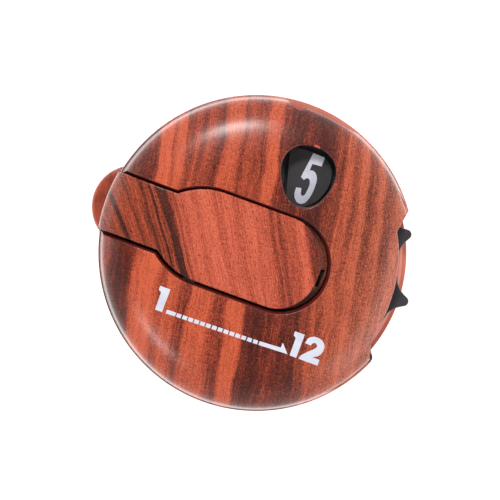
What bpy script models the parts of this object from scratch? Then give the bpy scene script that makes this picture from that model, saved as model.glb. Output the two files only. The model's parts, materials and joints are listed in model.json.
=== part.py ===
"""Golf stroke counter: a round pocket counter, 30 mm across, that clips to a glove or a cap.

A thumb turns the toothed dial one tooth at a time from 1 to 12, and a number shows in the window.
A leaf spring holds each number against a spiral spring. Pressing the button pushes the release pin
down through the hollow post: its arm frees the leaf spring, and the dial springs back to 1.

Metres, +Z out of the number face. The origin is on the clip's flat outer face, under the middle
of the case. +X runs along the button towards the teeth, and +Y towards the window.
"""

import math

import bmesh
import bpy
from mathutils import Matrix

for old in list(bpy.data.objects):
    bpy.data.objects.remove(old)

# Case
cover_radius = 0.01435
cover_height = 0.0044
cover_rim_height = 0.0010
housing_proud = 0.0001
housing_height = 0.0050
housing_rim_height = 0.0015
housing_corner = 0.00315
wall = 0.0011
seam_gap = 0.00012
overrun = 0.0010
sink = 0.0003
weld_distance = 0.000001
case_steps = 60
smooth_deg = 35.0

# Locating lip and snap bead inside the seam
lip_height = 0.0008
lip_thickness = 0.0003
lip_clearance = 0.0002
bead_reach = 0.00028
bead_half_height = 0.0002
bead_clearance = 0.0001
button_lip_gap = 0.0002

# Thumb notch at the teeth, and the prying relief beside the window
notch_cover_depth = 0.00145
notch_housing_depth = 0.00075
notch_low_deg = -23.6
notch_high_deg = 35.5
notch_ramp_deg = 6.5
relief_depth = 0.0004
relief_low_deg = 69.6
relief_high_deg = 98.7
relief_ramp_deg = 1.5
pry_deg = 93.4
pry_radius = 0.00055
pry_depth = 0.00075

# Window
window_offset = 0.00035
window_land = 0.00104
window_radius = 0.00271
window_wave_shares = ((1, 0.026, 73.8), (2, 0.065, -155.6), (3, 0.047, 99.8))
window_points = 48

# Dial
dial_x = 0.0023
tooth_count = 12
tooth_proud = 0.0002
tooth_height = 0.0015
tooth_width = 0.00295
tooth_nose = 0.00035
tooth_nose_deg = 60.0
tooth_phase_deg = 1.5
tooth_flank_shares = ((0.0, 1.0), (0.2, 0.76), (0.4, 0.58), (0.6, 0.43))
dial_lift = 0.00045
flange_thickness = 0.0009
web_thickness = 0.0006
number_inner_radius = 0.0050
number_margin = 0.0001
number_rise_inner = 0.00095
number_rise_outer = 0.00045
pad_gap_width = 0.00045
pad_gap_depth = 0.00035
dial_side_clearance = 0.00035
dial_top_clearance = 0.0003
peg_inset = 0.0017
peg_radius = 0.0005
peg_length = 0.0009
peg_deg = 335.0
count_low_deg = -120.0
count_high_deg = 210.0
stop_clearance = 0.00005
stop_thickness = 0.0009

# Hollow post at the dial's middle, and what turns on it
post_radius = 0.0018
post_top_gap = 0.0002
post_foot_gap = 0.00005
post_bore_radius = 0.0008
post_cup_radius = 0.00135
post_cup_depth = 0.0026
running_gap = 0.00006
boss_height = 0.00145
washer_thickness = 0.00025
washer_width = 0.0010
stack_gap = 0.00004
sleeve_wall = 0.0009
hex_gap = 0.00006
ratchet_tip_radius = 0.0044
ratchet_root_radius = 0.0038
ratchet_thickness = 0.0008
ratchet_lead_deg = 3.0
ratchet_ramp_share = 0.985
ring_thickness = 0.00025
ring_groove_depth = 0.00025
ring_width = 0.0013
ring_opening_deg = 60.0

# Springs
return_spring_thickness = 0.00015
return_spring_height = 0.0011
return_spring_turns = 4.5
return_spring_inner_radius = 0.0031
return_spring_outer_radius = 0.0069
return_spring_lift = 0.0002
return_spring_lead_deg = 30.0
return_spring_turn_steps = 20
hub_slot_width = 0.0005
hook_low_deg = -40.0
hook_high_deg = 120.0
anchor_offset = 0.0007
anchor_deg = 60.0
anchor_pin_radius = 0.0004
anchor_boss_wall = 0.0005
anchor_pin_gap = 0.0003
click_spring_thickness = 0.00015
click_spring_height = 0.0014
click_spring_drop = 0.0007
click_block_length = 0.0016
click_block_width = 0.0020
click_slit = 0.0004
click_tip_deg = -82.0
click_bend_deg = 13.0
click_tip_clearance = 0.0003

# Release pin and its arm
pin_radius = 0.00065
pin_head_radius = 0.0012
pin_head_thickness = 0.00045
pin_head_gap = 0.0003
pin_foot_radius = 0.0004
arm_thickness = 0.0005
arm_width = 0.0011
arm_reach = 0.0055
arm_wedge_height = 0.0008
arm_wedge_length = 0.0006
arm_lift = 0.00085
arm_slot_gap = 0.0001
arm_deg = -108.0
button_spring_wire = 0.0002
button_spring_turns = 5.0
button_spring_turn_steps = 10
button_spring_gap = 0.0001

# Button
button_neck_width = 0.0055
button_width = 0.0085
button_gap = 0.00035
button_neck_end = 0.0087
button_flare_end = 0.0062
button_end_x = 0.00225
button_sink = 0.0004
button_proud = 0.0003
button_wall = 0.0010
button_skirt_gap = 0.00035
button_corner = 0.0006
button_catch_length = 0.0015
button_catch_width = 0.0003
button_catch_depth = 0.0004
button_catch_inset = 0.0004
hinge_inset = 0.00215
hinge_height = 0.0012
hinge_pin_radius = 0.0005
hinge_ear_radius = 0.0009
hinge_ear_thickness = 0.0008
hinge_ear_gap = 0.0003
hinge_lug_radius = 0.0008
hinge_lug_width = 0.0024

# Clip on the back
clip_thickness = 0.0013
clip_gap = 0.0017
clip_width = 0.0076
clip_tab_proud = 0.00132
clip_jaw_reach = 0.0087
clip_pivot_inset = 0.00585
clip_pivot_drop = 0.00085
clip_ear_radius = 0.0007
clip_ear_thickness = 0.0007
clip_ear_gap = 0.0002
clip_lug_thickness = 0.0006
clip_lug_offset = 0.0015
clip_pin_radius = 0.00035
clip_lip_x = 0.0070
clip_lip_length = 0.0008
clip_lip_width = 0.0050
clip_lip_clearance = 0.0003
clip_spring_wire = 0.00025
clip_spring_turns = 4.5
clip_spring_turn_steps = 12
clip_spring_leg = 0.0030
clip_spring_gap = 0.00008

# Screws that hold the cover beside the button
screw_inset = 0.00217
screw_deg = 29.5
screw_head_radius = 0.0010
screw_head_thickness = 0.0006
screw_radius = 0.0005
screw_hole_gap = 0.0001
screw_length = 0.0052
screw_boss_radius = 0.0015
screw_counterbore_depth = 0.0015
screw_pillar_radius = 0.0010
screw_slot_width = 0.0003

# Places that follow from the sizes above
back_flat_radius = cover_radius - housing_corner
tooth_tip_radius = cover_radius - dial_x + tooth_proud
tooth_root_radius = tooth_tip_radius - tooth_height
number_outer_radius = tooth_root_radius - number_margin
peg_ring_radius = tooth_root_radius - peg_inset
anchor_ring_radius = return_spring_outer_radius + anchor_offset
window_x = dial_x - window_offset
window_y = button_width / 2 + button_gap + window_land + window_radius
hinge_x = cover_radius - hinge_inset
clip_tab_reach = cover_radius + clip_tab_proud
clip_pivot_x = cover_radius - clip_pivot_inset
screw_x = (cover_radius - screw_inset) * math.cos(math.radians(screw_deg))
screw_y = (cover_radius - screw_inset) * math.sin(math.radians(screw_deg))

# Heights that follow from the sizes above
back_z = clip_thickness + clip_gap
floor_z = back_z + wall
seam_z = back_z + housing_height
cover_top_z = seam_z + cover_height
cover_rim_z = seam_z + cover_rim_height
housing_radius = cover_radius + housing_proud
cover_inner_radius = cover_radius - wall
housing_inner_radius = housing_radius - wall
flange_low_z = seam_z + dial_lift
flange_top_z = flange_low_z + flange_thickness
web_top_z = flange_low_z + web_thickness
number_inner_z = flange_top_z + number_rise_inner
number_outer_z = flange_top_z + number_rise_outer
button_crown_z = cover_top_z - button_sink
button_under_z = button_crown_z - button_wall
button_radius = cover_radius + button_proud
button_skirt_z = seam_z + button_skirt_gap
hinge_z = seam_z + hinge_height
clip_pivot_z = clip_thickness + clip_pivot_drop
boss_top_z = floor_z + boss_height
washer_top_z = boss_top_z + stack_gap + washer_thickness
hub_low_z = washer_top_z + stack_gap
ratchet_top_z = hub_low_z + ratchet_thickness
ring_low_z = web_top_z + stack_gap
ring_top_z = ring_low_z + ring_thickness
post_top_z = ring_top_z + post_top_gap
pin_top_z = button_under_z - pin_head_gap
arm_low_z = floor_z + arm_lift
sleeve_radius = post_radius + running_gap + sleeve_wall


def collection(name):
    group = bpy.data.collections.new(name)
    bpy.context.scene.collection.children.link(group)
    return group


counter = collection("golf_stroke_counter")
cutters = collection("cutters")


def material(name, colour, roughness, metallic=0.0):
    finish = bpy.data.materials.new(name)
    finish.use_nodes = True
    shader = finish.node_tree.nodes["Principled BSDF"]
    shader.inputs["Base Color"].default_value = (*colour, 1.0)
    shader.inputs["Roughness"].default_value = roughness
    shader.inputs["Metallic"].default_value = metallic
    return finish


wood_print = material("wood_print", (0.50, 0.13, 0.07), 0.35)
wood_print_button = material("wood_print_button", (0.60, 0.17, 0.09), 0.35)
salmon_plastic = material("salmon_plastic", (0.58, 0.17, 0.11), 0.4)
black_plastic = material("black_plastic", (0.045, 0.042, 0.045), 0.4)
white_nylon = material("white_nylon", (0.75, 0.74, 0.70), 0.45)
spring_steel = material("spring_steel", (0.55, 0.55, 0.54), 0.3, 1.0)
plated_steel = material("plated_steel", (0.70, 0.70, 0.68), 0.25, 1.0)


def piece(name, mesh, finish):
    thing = bpy.data.objects.new(name, mesh)
    if finish is None:
        cutters.objects.link(thing)
        thing.hide_render = True
        thing.display_type = "WIRE"
    else:
        counter.objects.link(thing)
        mesh.materials.append(finish)
    return thing


def smooth(mesh):
    mesh.shade_smooth()
    mesh.set_sharp_from_angle(angle=math.radians(smooth_deg))


def turned(name, profile, finish, at=(0.0, 0.0), steps=case_steps, closed=False):
    """A shape turned about a vertical axis, from points (radius, height) that go down its outer side."""
    bm = bmesh.new()
    corners = [bm.verts.new((radius, 0.0, height)) for radius, height in profile]
    for first, second in zip(corners, corners[1:]):
        bm.edges.new((first, second))
    if closed:
        bm.edges.new((corners[-1], corners[0]))
    mesh = bpy.data.meshes.new(name)
    bm.to_mesh(mesh)
    bm.free()
    thing = piece(name, mesh, finish)
    thing.location = (at[0], at[1], 0.0)
    screw = thing.modifiers.new("turn", "SCREW")
    screw.steps = steps
    screw.render_steps = steps
    screw.use_merge_vertices = True
    screw.merge_threshold = weld_distance
    return thing


def as_mesh(source, name, finish):
    """A curve's evaluated shape as a mesh object with its caps welded."""
    graph = bpy.context.evaluated_depsgraph_get()
    graph.update()
    mesh = bpy.data.meshes.new_from_object(source.evaluated_get(graph))
    bm = bmesh.new()
    bm.from_mesh(mesh)
    bmesh.ops.remove_doubles(bm, verts=bm.verts, dist=weld_distance)
    bmesh.ops.recalc_face_normals(bm, faces=bm.faces)
    bm.to_mesh(mesh)
    bm.free()
    smooth(mesh)
    mesh.name = name
    mesh.materials.clear()
    thing = piece(name, mesh, finish)
    thing.matrix_world = source.matrix_world.copy()
    bpy.data.objects.remove(source)
    return thing


def slab(name, outline, low, high, finish, upright=False):
    """A flat outline with a thickness: level between two heights, or upright between two places on Y."""
    curve = bpy.data.curves.new(name + "_outline", "CURVE")
    curve.dimensions = "2D"
    curve.fill_mode = "BOTH"
    curve.extrude = (high - low) / 2
    line = curve.splines.new("POLY")
    line.points.add(len(outline) - 1)
    for point, (across, along) in zip(line.points, outline):
        point.co = (across, along, 0.0, 1.0)
    line.use_cyclic_u = True
    source = bpy.data.objects.new(name + "_outline", curve)
    bpy.context.scene.collection.objects.link(source)
    middle = (low + high) / 2
    if upright:
        source.location.y = middle
        source.rotation_euler.x = math.radians(90.0)
    else:
        source.location.z = middle
    bpy.context.view_layer.update()
    return as_mesh(source, name, finish)


def rod(name, radius, start, end, finish, sides=24):
    """A round bar between two points on a line along one axis."""
    bm = bmesh.new()
    length = sum(abs(b - a) for a, b in zip(start, end))
    bmesh.ops.create_cone(bm, cap_ends=True, segments=sides, radius1=radius, radius2=radius, depth=length)
    if start[1] != end[1]:
        bmesh.ops.rotate(bm, verts=bm.verts, matrix=Matrix.Rotation(math.radians(90.0), 3, "X"))
    mesh = bpy.data.meshes.new(name)
    bm.to_mesh(mesh)
    bm.free()
    smooth(mesh)
    thing = piece(name, mesh, finish)
    thing.location = [(a + b) / 2 for a, b in zip(start, end)]
    return thing


def block(name, low, high, finish, turn=0.0, pivot=(0.0, 0.0)):
    """A box between two corners, turned by an angle about a vertical line."""
    bm = bmesh.new()
    bmesh.ops.create_cube(bm, size=1.0)
    bmesh.ops.scale(bm, verts=bm.verts, vec=[b - a for a, b in zip(low, high)])
    bmesh.ops.translate(bm, verts=bm.verts, vec=[(a + b) / 2 for a, b in zip(low, high)])
    about_z = Matrix.Rotation(turn, 3, "Z")
    bmesh.ops.rotate(bm, verts=bm.verts, cent=(*pivot, 0.0), matrix=about_z)
    mesh = bpy.data.meshes.new(name)
    bm.to_mesh(mesh)
    bm.free()
    return piece(name, mesh, finish)


def wire(name, route, radius, finish):
    """A round wire along a route, with closed ends."""
    curve = bpy.data.curves.new(name, "CURVE")
    curve.dimensions = "3D"
    curve.bevel_depth = radius
    curve.bevel_resolution = 1
    curve.use_fill_caps = True
    line = curve.splines.new("POLY")
    line.points.add(len(route) - 1)
    for point, place in zip(line.points, route):
        point.co = (*place, 1.0)
    thing = bpy.data.objects.new(name, curve)
    counter.objects.link(thing)
    curve.materials.append(finish)
    return thing


def strip(name, route, low, height, thickness, finish):
    """A flat spring strip that stands on edge along a level route."""
    bm = bmesh.new()
    corners = [bm.verts.new((x, y, low)) for x, y in route]
    edges = [bm.edges.new(pair) for pair in zip(corners, corners[1:])]
    grown = bmesh.ops.extrude_edge_only(bm, edges=edges)["geom"]
    raised = [part for part in grown if isinstance(part, bmesh.types.BMVert)]
    bmesh.ops.translate(bm, verts=raised, vec=(0.0, 0.0, height))
    mesh = bpy.data.meshes.new(name)
    bm.to_mesh(mesh)
    bm.free()
    thing = piece(name, mesh, finish)
    solid = thing.modifiers.new("thickness", "SOLIDIFY")
    solid.thickness = thickness
    solid.offset = 0.0
    solid.use_even_offset = True
    return thing


def boolean(thing, operation, tools):
    for tool in tools:
        step = thing.modifiers.new(tool.name, "BOOLEAN")
        step.operation = operation
        step.solver = "EXACT"
        step.object = tool


def cut(thing, *tools):
    boolean(thing, "DIFFERENCE", tools)


def add(thing, *tools):
    boolean(thing, "UNION", tools)


def arc(x, y, radius, start_deg, end_deg, count):
    """Points on a round stretch, from one angle to another."""
    turns = [math.radians(start_deg + (end_deg - start_deg) * step / count) for step in range(count + 1)]
    return [(x + radius * math.cos(turn), y + radius * math.sin(turn)) for turn in turns]


def polar(radius, degrees, x=0.0, y=0.0):
    return (x + radius * math.cos(math.radians(degrees)), y + radius * math.sin(math.radians(degrees)))


def dome(radius, rim_z, crown_z, count=10):
    """A nearly flat crown that rounds down into an upright rim."""
    steps = [math.radians(90.0 * step / count) for step in range(count + 1)]
    return [
        (radius * math.sqrt(math.sin(step)), rim_z + (crown_z - rim_z) * math.cos(step)) for step in steps
    ]


def crown_height(distance, radius, rim_z, crown_z):
    """How high such a crown is at a distance from its middle."""
    return rim_z + (crown_z - rim_z) * math.cos(math.asin((distance / radius) ** 2))


def cup(radius, flat_radius, rim_z, bottom_z, count=6):
    """The rounded lower corner of the housing, from its rim down to its flat."""
    steps = [math.radians(90.0 * step / count) for step in range(count + 1)]
    return [
        (flat_radius + (radius - flat_radius) * math.cos(step), rim_z - (rim_z - bottom_z) * math.sin(step))
        for step in steps
    ]


def keyhole(neck_half, head_half, left_x, grow=0.0, corner=0.0):
    """The button's outline: a narrow neck, rounded shoulders and a round head, grown evenly by a gap."""
    neck = neck_half + grow
    head = head_half + grow
    neck_end = -button_neck_end - grow / 2
    flare = -button_flare_end
    radius = ((flare - neck_end) ** 2 + (head - neck) ** 2) / (2 * (head - neck))
    lean = math.degrees(math.asin((flare - neck_end) / radius))
    upper = arc(flare, head - radius, radius, 90.0 + lean, 90.0, 6)
    lower = [(x, -y) for x, y in reversed(upper)]
    left_low = [(left_x, -neck)]
    left_high = [(left_x, neck)]
    if corner:
        left_low = arc(left_x + corner, corner - neck, corner, 270.0, 180.0, 4)
        left_high = arc(left_x + corner, neck - corner, corner, 180.0, 90.0, 4)
    return upper + arc(button_end_x, 0.0, head, 90.0, -90.0, 20) + lower + left_low + left_high


def edge_cutter(name, depth, low_deg, high_deg, ramp_deg, radius, low, high):
    """Cuts the rim back to a smaller radius between two angles, with a slanting end at each side."""
    inner = arc(0.0, 0.0, radius - depth, low_deg + ramp_deg, high_deg - ramp_deg, 16)
    outer = arc(0.0, 0.0, radius + overrun, high_deg, low_deg, 16)
    corners = [polar(radius, high_deg)]
    return slab(name, inner + corners + outer + [polar(radius, low_deg)], low, high, None)


def make_rear_housing():
    lip_radius = cover_inner_radius - lip_clearance
    lip_inner = lip_radius - lip_thickness
    bead_z = seam_z + lip_height / 2
    outer = cup(housing_radius, back_flat_radius, seam_z - housing_rim_height, back_z)
    inner = cup(housing_inner_radius, back_flat_radius - wall / 2, seam_z - housing_rim_height, floor_z)
    profile = [(0.0, floor_z)] + list(reversed(inner)) + [
        (lip_inner, seam_z - lip_height),
        (lip_inner, seam_z + lip_height),
        (lip_radius, seam_z + lip_height),
        (lip_radius, bead_z + bead_half_height),
        (lip_radius + bead_reach, bead_z),
        (lip_radius, bead_z - bead_half_height),
        (lip_radius, seam_z),
        (housing_radius, seam_z),
    ] + outer + [(0.0, back_z)]
    housing = turned("rear_housing", profile, salmon_plastic)
    neck = button_neck_width / 2 + button_gap + button_lip_gap
    lip_gap = block(
        "lip_gap",
        (-housing_radius - overrun, -neck, seam_z),
        (-hinge_x + hinge_ear_radius, neck, seam_z + lip_height + overrun),
        None,
    )
    cut(housing, lip_gap)

    boss = rod(
        "post_boss",
        sleeve_radius + running_gap,
        (dial_x, 0.0, floor_z - sink),
        (dial_x, 0.0, boss_top_z),
        None,
    )
    stop_half = peg_ring_radius * math.sin(math.radians(stop_half_deg())) - peg_radius - stop_clearance
    stop = block(
        "stop_block",
        (dial_x + peg_ring_radius - stop_thickness / 2, -stop_half, floor_z - sink),
        (dial_x + peg_ring_radius + stop_thickness / 2, stop_half, flange_low_z - dial_top_clearance),
        None,
        turn=math.radians(stop_deg()),
        pivot=(dial_x, 0.0),
    )
    anchor_x, anchor_y = polar(anchor_ring_radius, anchor_deg, dial_x)
    anchor_top = hub_low_z + ratchet_thickness
    anchor = rod(
        "anchor_boss",
        anchor_pin_radius + anchor_boss_wall,
        (anchor_x, anchor_y, floor_z - sink),
        (anchor_x, anchor_y, anchor_top),
        None,
    )
    hold_x, hold_y = click_route()[0]
    hold = block(
        "click_block",
        (hold_x, hold_y - click_block_width / 2, floor_z - sink),
        (hold_x + click_block_length, hold_y + click_block_width / 2, ratchet_top_z),
        None,
    )
    lug = slab(
        "button_lug",
        arc(-hinge_x, hinge_z, hinge_lug_radius, 0.0, 180.0, 12)
        + [(-hinge_x - hinge_lug_radius, floor_z - sink), (-hinge_x + hinge_lug_radius, floor_z - sink)],
        -hinge_lug_width / 2,
        hinge_lug_width / 2,
        None,
        upright=True,
    )
    clip_lugs = [
        slab(
            "clip_lug",
            arc(-clip_pivot_x, clip_pivot_z, clip_ear_radius, 180.0, 360.0, 12)
            + [
                (-clip_pivot_x + clip_ear_radius, back_z + sink),
                (-clip_pivot_x - clip_ear_radius, back_z + sink),
            ],
            min(side * clip_lug_offset, side * (clip_lug_offset + clip_lug_thickness)),
            max(side * clip_lug_offset, side * (clip_lug_offset + clip_lug_thickness)),
            None,
            upright=True,
        )
        for side in (-1, 1)
    ]
    pillars = [
        rod(
            "screw_boss",
            screw_boss_radius,
            (-screw_x, side * screw_y, floor_z),
            (-screw_x, side * screw_y, seam_z - lip_height),
            None,
        )
        for side in (-1, 1)
    ]
    add(housing, boss, stop, anchor, hold, lug, *clip_lugs, *pillars)

    post_hole = rod(
        "post_hole",
        post_radius + running_gap,
        (dial_x, 0.0, floor_z),
        (dial_x, 0.0, boss_top_z + overrun),
        None,
    )
    arm_path = block(
        "arm_path",
        (dial_x, -arm_width / 2 - arm_slot_gap, floor_z),
        (dial_x + sleeve_radius + overrun, arm_width / 2 + arm_slot_gap, boss_top_z + overrun),
        None,
        turn=math.radians(arm_deg),
        pivot=(dial_x, 0.0),
    )
    anchor_hole = rod(
        "anchor_hole",
        anchor_pin_radius + running_gap,
        (anchor_x, anchor_y, floor_z + sink),
        (anchor_x, anchor_y, anchor_top + overrun),
        None,
    )
    slit = block(
        "click_slit",
        (hold_x - overrun, hold_y - click_slit / 2, boss_top_z - click_spring_drop),
        (hold_x + click_block_length + overrun, hold_y + click_slit / 2, ratchet_top_z + overrun),
        None,
    )
    hinge_hole = rod(
        "hinge_hole",
        hinge_pin_radius + running_gap,
        (-hinge_x, -hinge_lug_width, hinge_z),
        (-hinge_x, hinge_lug_width, hinge_z),
        None,
    )
    clip_hole = rod(
        "clip_hole",
        clip_pin_radius + running_gap,
        (-clip_pivot_x, -clip_width / 2, clip_pivot_z),
        (-clip_pivot_x, clip_width / 2, clip_pivot_z),
        None,
    )
    teeth_path = rod(
        "teeth_path_in_lip",
        tooth_tip_radius + dial_side_clearance,
        (dial_x, 0.0, seam_z),
        (dial_x, 0.0, seam_z + lip_height + overrun),
        None,
        sides=case_steps,
    )
    notch = edge_cutter(
        "housing_notch",
        notch_housing_depth,
        notch_low_deg,
        notch_high_deg,
        notch_ramp_deg / 2,
        housing_radius,
        seam_z - housing_rim_height * 2,
        seam_z + lip_height + overrun,
    )
    screw_cuts = []
    for side in (-1, 1):
        screw_cuts.append(
            rod(
                "pillar_path",
                screw_pillar_radius + lip_clearance,
                (-screw_x, side * screw_y, seam_z - lip_height),
                (-screw_x, side * screw_y, seam_z + lip_height + overrun),
                None,
            )
        )
        screw_cuts.append(
            rod(
                "screw_head_path",
                screw_head_radius + screw_hole_gap,
                (-screw_x, side * screw_y, back_z - overrun),
                (-screw_x, side * screw_y, back_z + screw_counterbore_depth),
                None,
            )
        )
        screw_cuts.append(
            rod(
                "screw_path",
                screw_radius + screw_hole_gap,
                (-screw_x, side * screw_y, back_z),
                (-screw_x, side * screw_y, seam_z + overrun),
                None,
            )
        )
    cut(housing, post_hole, arm_path, anchor_hole, slit, hinge_hole, clip_hole, teeth_path, notch)
    cut(housing, *screw_cuts)
    return housing


def stop_half_deg():
    """Half of what is left of a turn after the dial's travel."""
    return (360.0 - (count_high_deg - count_low_deg)) / 2


def stop_deg():
    """Where the stop block stands, so that the peg meets it at both ends of the count."""
    return peg_deg + count_high_deg + stop_half_deg()


def make_front_cover():
    bead_z = seam_z + lip_height / 2
    groove_radius = cover_inner_radius - lip_clearance + bead_reach + bead_clearance
    groove_half = bead_half_height + bead_clearance
    outer = dome(cover_radius, cover_rim_z, cover_top_z)
    inner = dome(cover_inner_radius, cover_rim_z, cover_top_z - wall)
    profile = outer + [
        (cover_radius, seam_z + seam_gap),
        (cover_inner_radius, seam_z + seam_gap),
        (groove_radius, bead_z - bead_clearance),
        (groove_radius, bead_z + bead_clearance),
        (cover_inner_radius, bead_z + groove_half),
    ] + list(reversed(inner))
    cover = turned("front_cover", profile, wood_print)

    pillar_distance = cover_radius - screw_inset
    pillar_top_z = crown_height(pillar_distance, cover_inner_radius, cover_rim_z, cover_top_z - wall)
    pillars = [
        rod(
            "cover_pillar",
            screw_pillar_radius,
            (-screw_x, side * screw_y, seam_z + seam_gap),
            (-screw_x, side * screw_y, pillar_top_z + sink * 2),
            None,
        )
        for side in (-1, 1)
    ]
    add(cover, *pillars)
    screw_tip_z = back_z + screw_counterbore_depth - screw_head_thickness + screw_length
    screw_cuts = [
        rod(
            "pillar_hole",
            screw_radius + running_gap,
            (-screw_x, side * screw_y, seam_z - overrun),
            (-screw_x, side * screw_y, screw_tip_z + running_gap),
            None,
        )
        for side in (-1, 1)
    ]
    teeth_path = rod(
        "teeth_path",
        tooth_tip_radius + dial_side_clearance,
        (dial_x, 0.0, seam_z - overrun),
        (dial_x, 0.0, flange_top_z + dial_top_clearance),
        None,
        sides=case_steps,
    )
    number_path = rod(
        "number_path",
        number_outer_radius + dial_top_clearance,
        (dial_x, 0.0, seam_z),
        (dial_x, 0.0, number_outer_z + dial_top_clearance),
        None,
        sides=case_steps,
    )
    opening = slab(
        "button_opening",
        keyhole(button_neck_width / 2, button_width / 2, -cover_radius - overrun, grow=button_gap),
        seam_z - overrun,
        cover_top_z + overrun,
        None,
    )
    window = slab("window_opening", window_outline(), flange_top_z, cover_top_z + overrun, None)
    notch = edge_cutter(
        "thumb_notch",
        notch_cover_depth,
        notch_low_deg,
        notch_high_deg,
        notch_ramp_deg,
        cover_radius,
        seam_z - overrun,
        cover_top_z + overrun,
    )
    relief = edge_cutter(
        "prying_relief",
        relief_depth,
        relief_low_deg,
        relief_high_deg,
        relief_ramp_deg,
        cover_radius,
        seam_z - overrun,
        cover_top_z + overrun,
    )
    pry_x, pry_y = polar(cover_radius - pry_depth + pry_radius, pry_deg)
    pry = rod(
        "pry_notch",
        pry_radius,
        (pry_x, pry_y, seam_z - overrun),
        (pry_x, pry_y, cover_top_z + overrun),
        None,
        sides=16,
    )
    cut(cover, *screw_cuts, teeth_path, number_path, opening, window, notch, relief, pry)
    return cover


def window_outline():
    """A rounded, slightly egg-shaped opening: a circle with three small waves on its radius."""
    outline = []
    for step in range(window_points):
        turn = math.radians(-360.0 * step / window_points)
        waves = [
            share * math.cos(order * turn - math.radians(lag)) for order, share, lag in window_wave_shares
        ]
        radius = window_radius * (1.0 + sum(waves))
        outline.append((window_x + radius * math.cos(turn), window_y + radius * math.sin(turn)))
    return outline


def make_reset_button():
    profile = dome(button_radius, cover_rim_z, button_crown_z) + [
        (button_radius, button_skirt_z),
        (button_radius - button_wall, button_skirt_z),
    ] + list(reversed(dome(button_radius - button_wall, cover_rim_z, button_under_z)))
    button = turned("reset_button", profile, wood_print_button)
    outline = slab(
        "button_outline",
        keyhole(button_neck_width / 2, button_width / 2, -button_radius, corner=button_corner),
        seam_z,
        cover_top_z + overrun,
        None,
    )
    boolean(button, "INTERSECT", [outline])

    ear_inner = hinge_lug_width / 2 + hinge_ear_gap
    ear_top = []
    for distance in (hinge_x + hinge_ear_radius, hinge_x - hinge_ear_radius):
        under = crown_height(distance, button_radius - button_wall, cover_rim_z, button_under_z)
        ear_top.append((-distance, under + sink))
    ears = [
        slab(
            "button_ear",
            ear_top + arc(-hinge_x, hinge_z, hinge_ear_radius, 0.0, -180.0, 12),
            min(side * ear_inner, side * (ear_inner + hinge_ear_thickness)),
            max(side * ear_inner, side * (ear_inner + hinge_ear_thickness)),
            None,
            upright=True,
        )
        for side in (-1, 1)
    ]
    add(button, *ears)
    pin_hole = rod(
        "button_pin_hole",
        hinge_pin_radius + running_gap,
        (-hinge_x, -button_neck_width / 2, hinge_z),
        (-hinge_x, button_neck_width / 2, hinge_z),
        None,
    )
    catch_x = button_end_x + button_width / 2 - button_catch_inset
    catch = block(
        "button_catch",
        (catch_x - button_catch_width, -button_catch_length / 2, button_crown_z - button_catch_depth),
        (catch_x, button_catch_length / 2, button_crown_z + overrun),
        None,
    )
    cut(button, pin_hole, catch)
    return button


def make_button_pin():
    half = hinge_lug_width / 2 + hinge_ear_gap + hinge_ear_thickness
    start = (-hinge_x, -half, hinge_z)
    end = (-hinge_x, half, hinge_z)
    return rod("button_pin", hinge_pin_radius, start, end, plated_steel)


def toothed_outline():
    """The dial's rim: straight stretches of its root circle between hollow-sided, round-nosed teeth."""
    outline = []
    height = tooth_tip_radius - tooth_root_radius
    nose_radius = tooth_tip_radius - tooth_nose
    for tooth in range(tooth_count):
        middle = math.radians(tooth_phase_deg + 360.0 * tooth / tooth_count)
        flank = [
            (tooth_root_radius + height * rise, tooth_width / 2 * half) for rise, half in tooth_flank_shares
        ]
        low = [(along, -across) for along, across in flank]
        nose = arc(nose_radius, 0.0, tooth_nose, -tooth_nose_deg, tooth_nose_deg, 4)
        half_pitch = 180.0 / tooth_count
        valley = [polar(tooth_root_radius, half_pitch)]
        for along, across in low + nose + list(reversed(flank)) + valley:
            outline.append(
                (
                    dial_x + along * math.cos(middle) - across * math.sin(middle),
                    along * math.sin(middle) + across * math.cos(middle),
                )
            )
    return outline


def make_number_dial():
    dial = slab("number_dial", toothed_outline(), flange_low_z, flange_top_z, black_plastic)
    crown = turned(
        "number_ring",
        [
            (0.0, number_inner_z),
            (number_inner_radius - sink, number_inner_z),
            (number_outer_radius, number_outer_z),
            (number_outer_radius, flange_low_z + sink),
            (0.0, flange_low_z + sink),
        ],
        None,
        at=(dial_x, 0.0),
    )
    peg_x, peg_y = polar(peg_ring_radius, peg_deg, dial_x)
    peg = rod(
        "stop_peg",
        peg_radius,
        (peg_x, peg_y, flange_low_z - peg_length),
        (peg_x, peg_y, flange_low_z + sink),
        None,
    )
    add(dial, crown, peg)
    dish = rod(
        "dial_dish",
        number_inner_radius,
        (dial_x, 0.0, web_top_z),
        (dial_x, 0.0, number_inner_z + overrun),
        None,
        sides=case_steps,
    )
    drive = rod(
        "dial_drive_hole",
        sleeve_radius + hex_gap,
        (dial_x, 0.0, flange_low_z - overrun),
        (dial_x, 0.0, web_top_z + overrun),
        None,
        sides=6,
    )
    pad_gaps = [
        block(
            "pad_gap",
            (dial_x + number_inner_radius - overrun, -pad_gap_width / 2, number_outer_z - pad_gap_depth),
            (dial_x + number_outer_radius + overrun, pad_gap_width / 2, number_inner_z + overrun),
            None,
            turn=math.radians(tooth_phase_deg + 360.0 * (pad + 0.5) / tooth_count),
            pivot=(dial_x, 0.0),
        )
        for pad in range(tooth_count)
    ]
    cut(dial, dish, drive, *pad_gaps)
    return dial


def ratchet_outline():
    """Saw teeth that let the dial count up and lock it against the return spring."""
    outline = []
    tip_x, tip_y = click_route()[-1]
    phase = math.degrees(math.atan2(tip_y, tip_x - dial_x)) + ratchet_lead_deg
    pitch = 360.0 / tooth_count
    for tooth in range(tooth_count):
        start = phase + pitch * tooth
        for share in (0.0, 0.25, 0.5, 0.75, 1.0):
            radius = ratchet_tip_radius + (ratchet_root_radius - ratchet_tip_radius) * share
            outline.append(polar(radius, start + pitch * share * ratchet_ramp_share, dial_x))
    return outline


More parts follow.
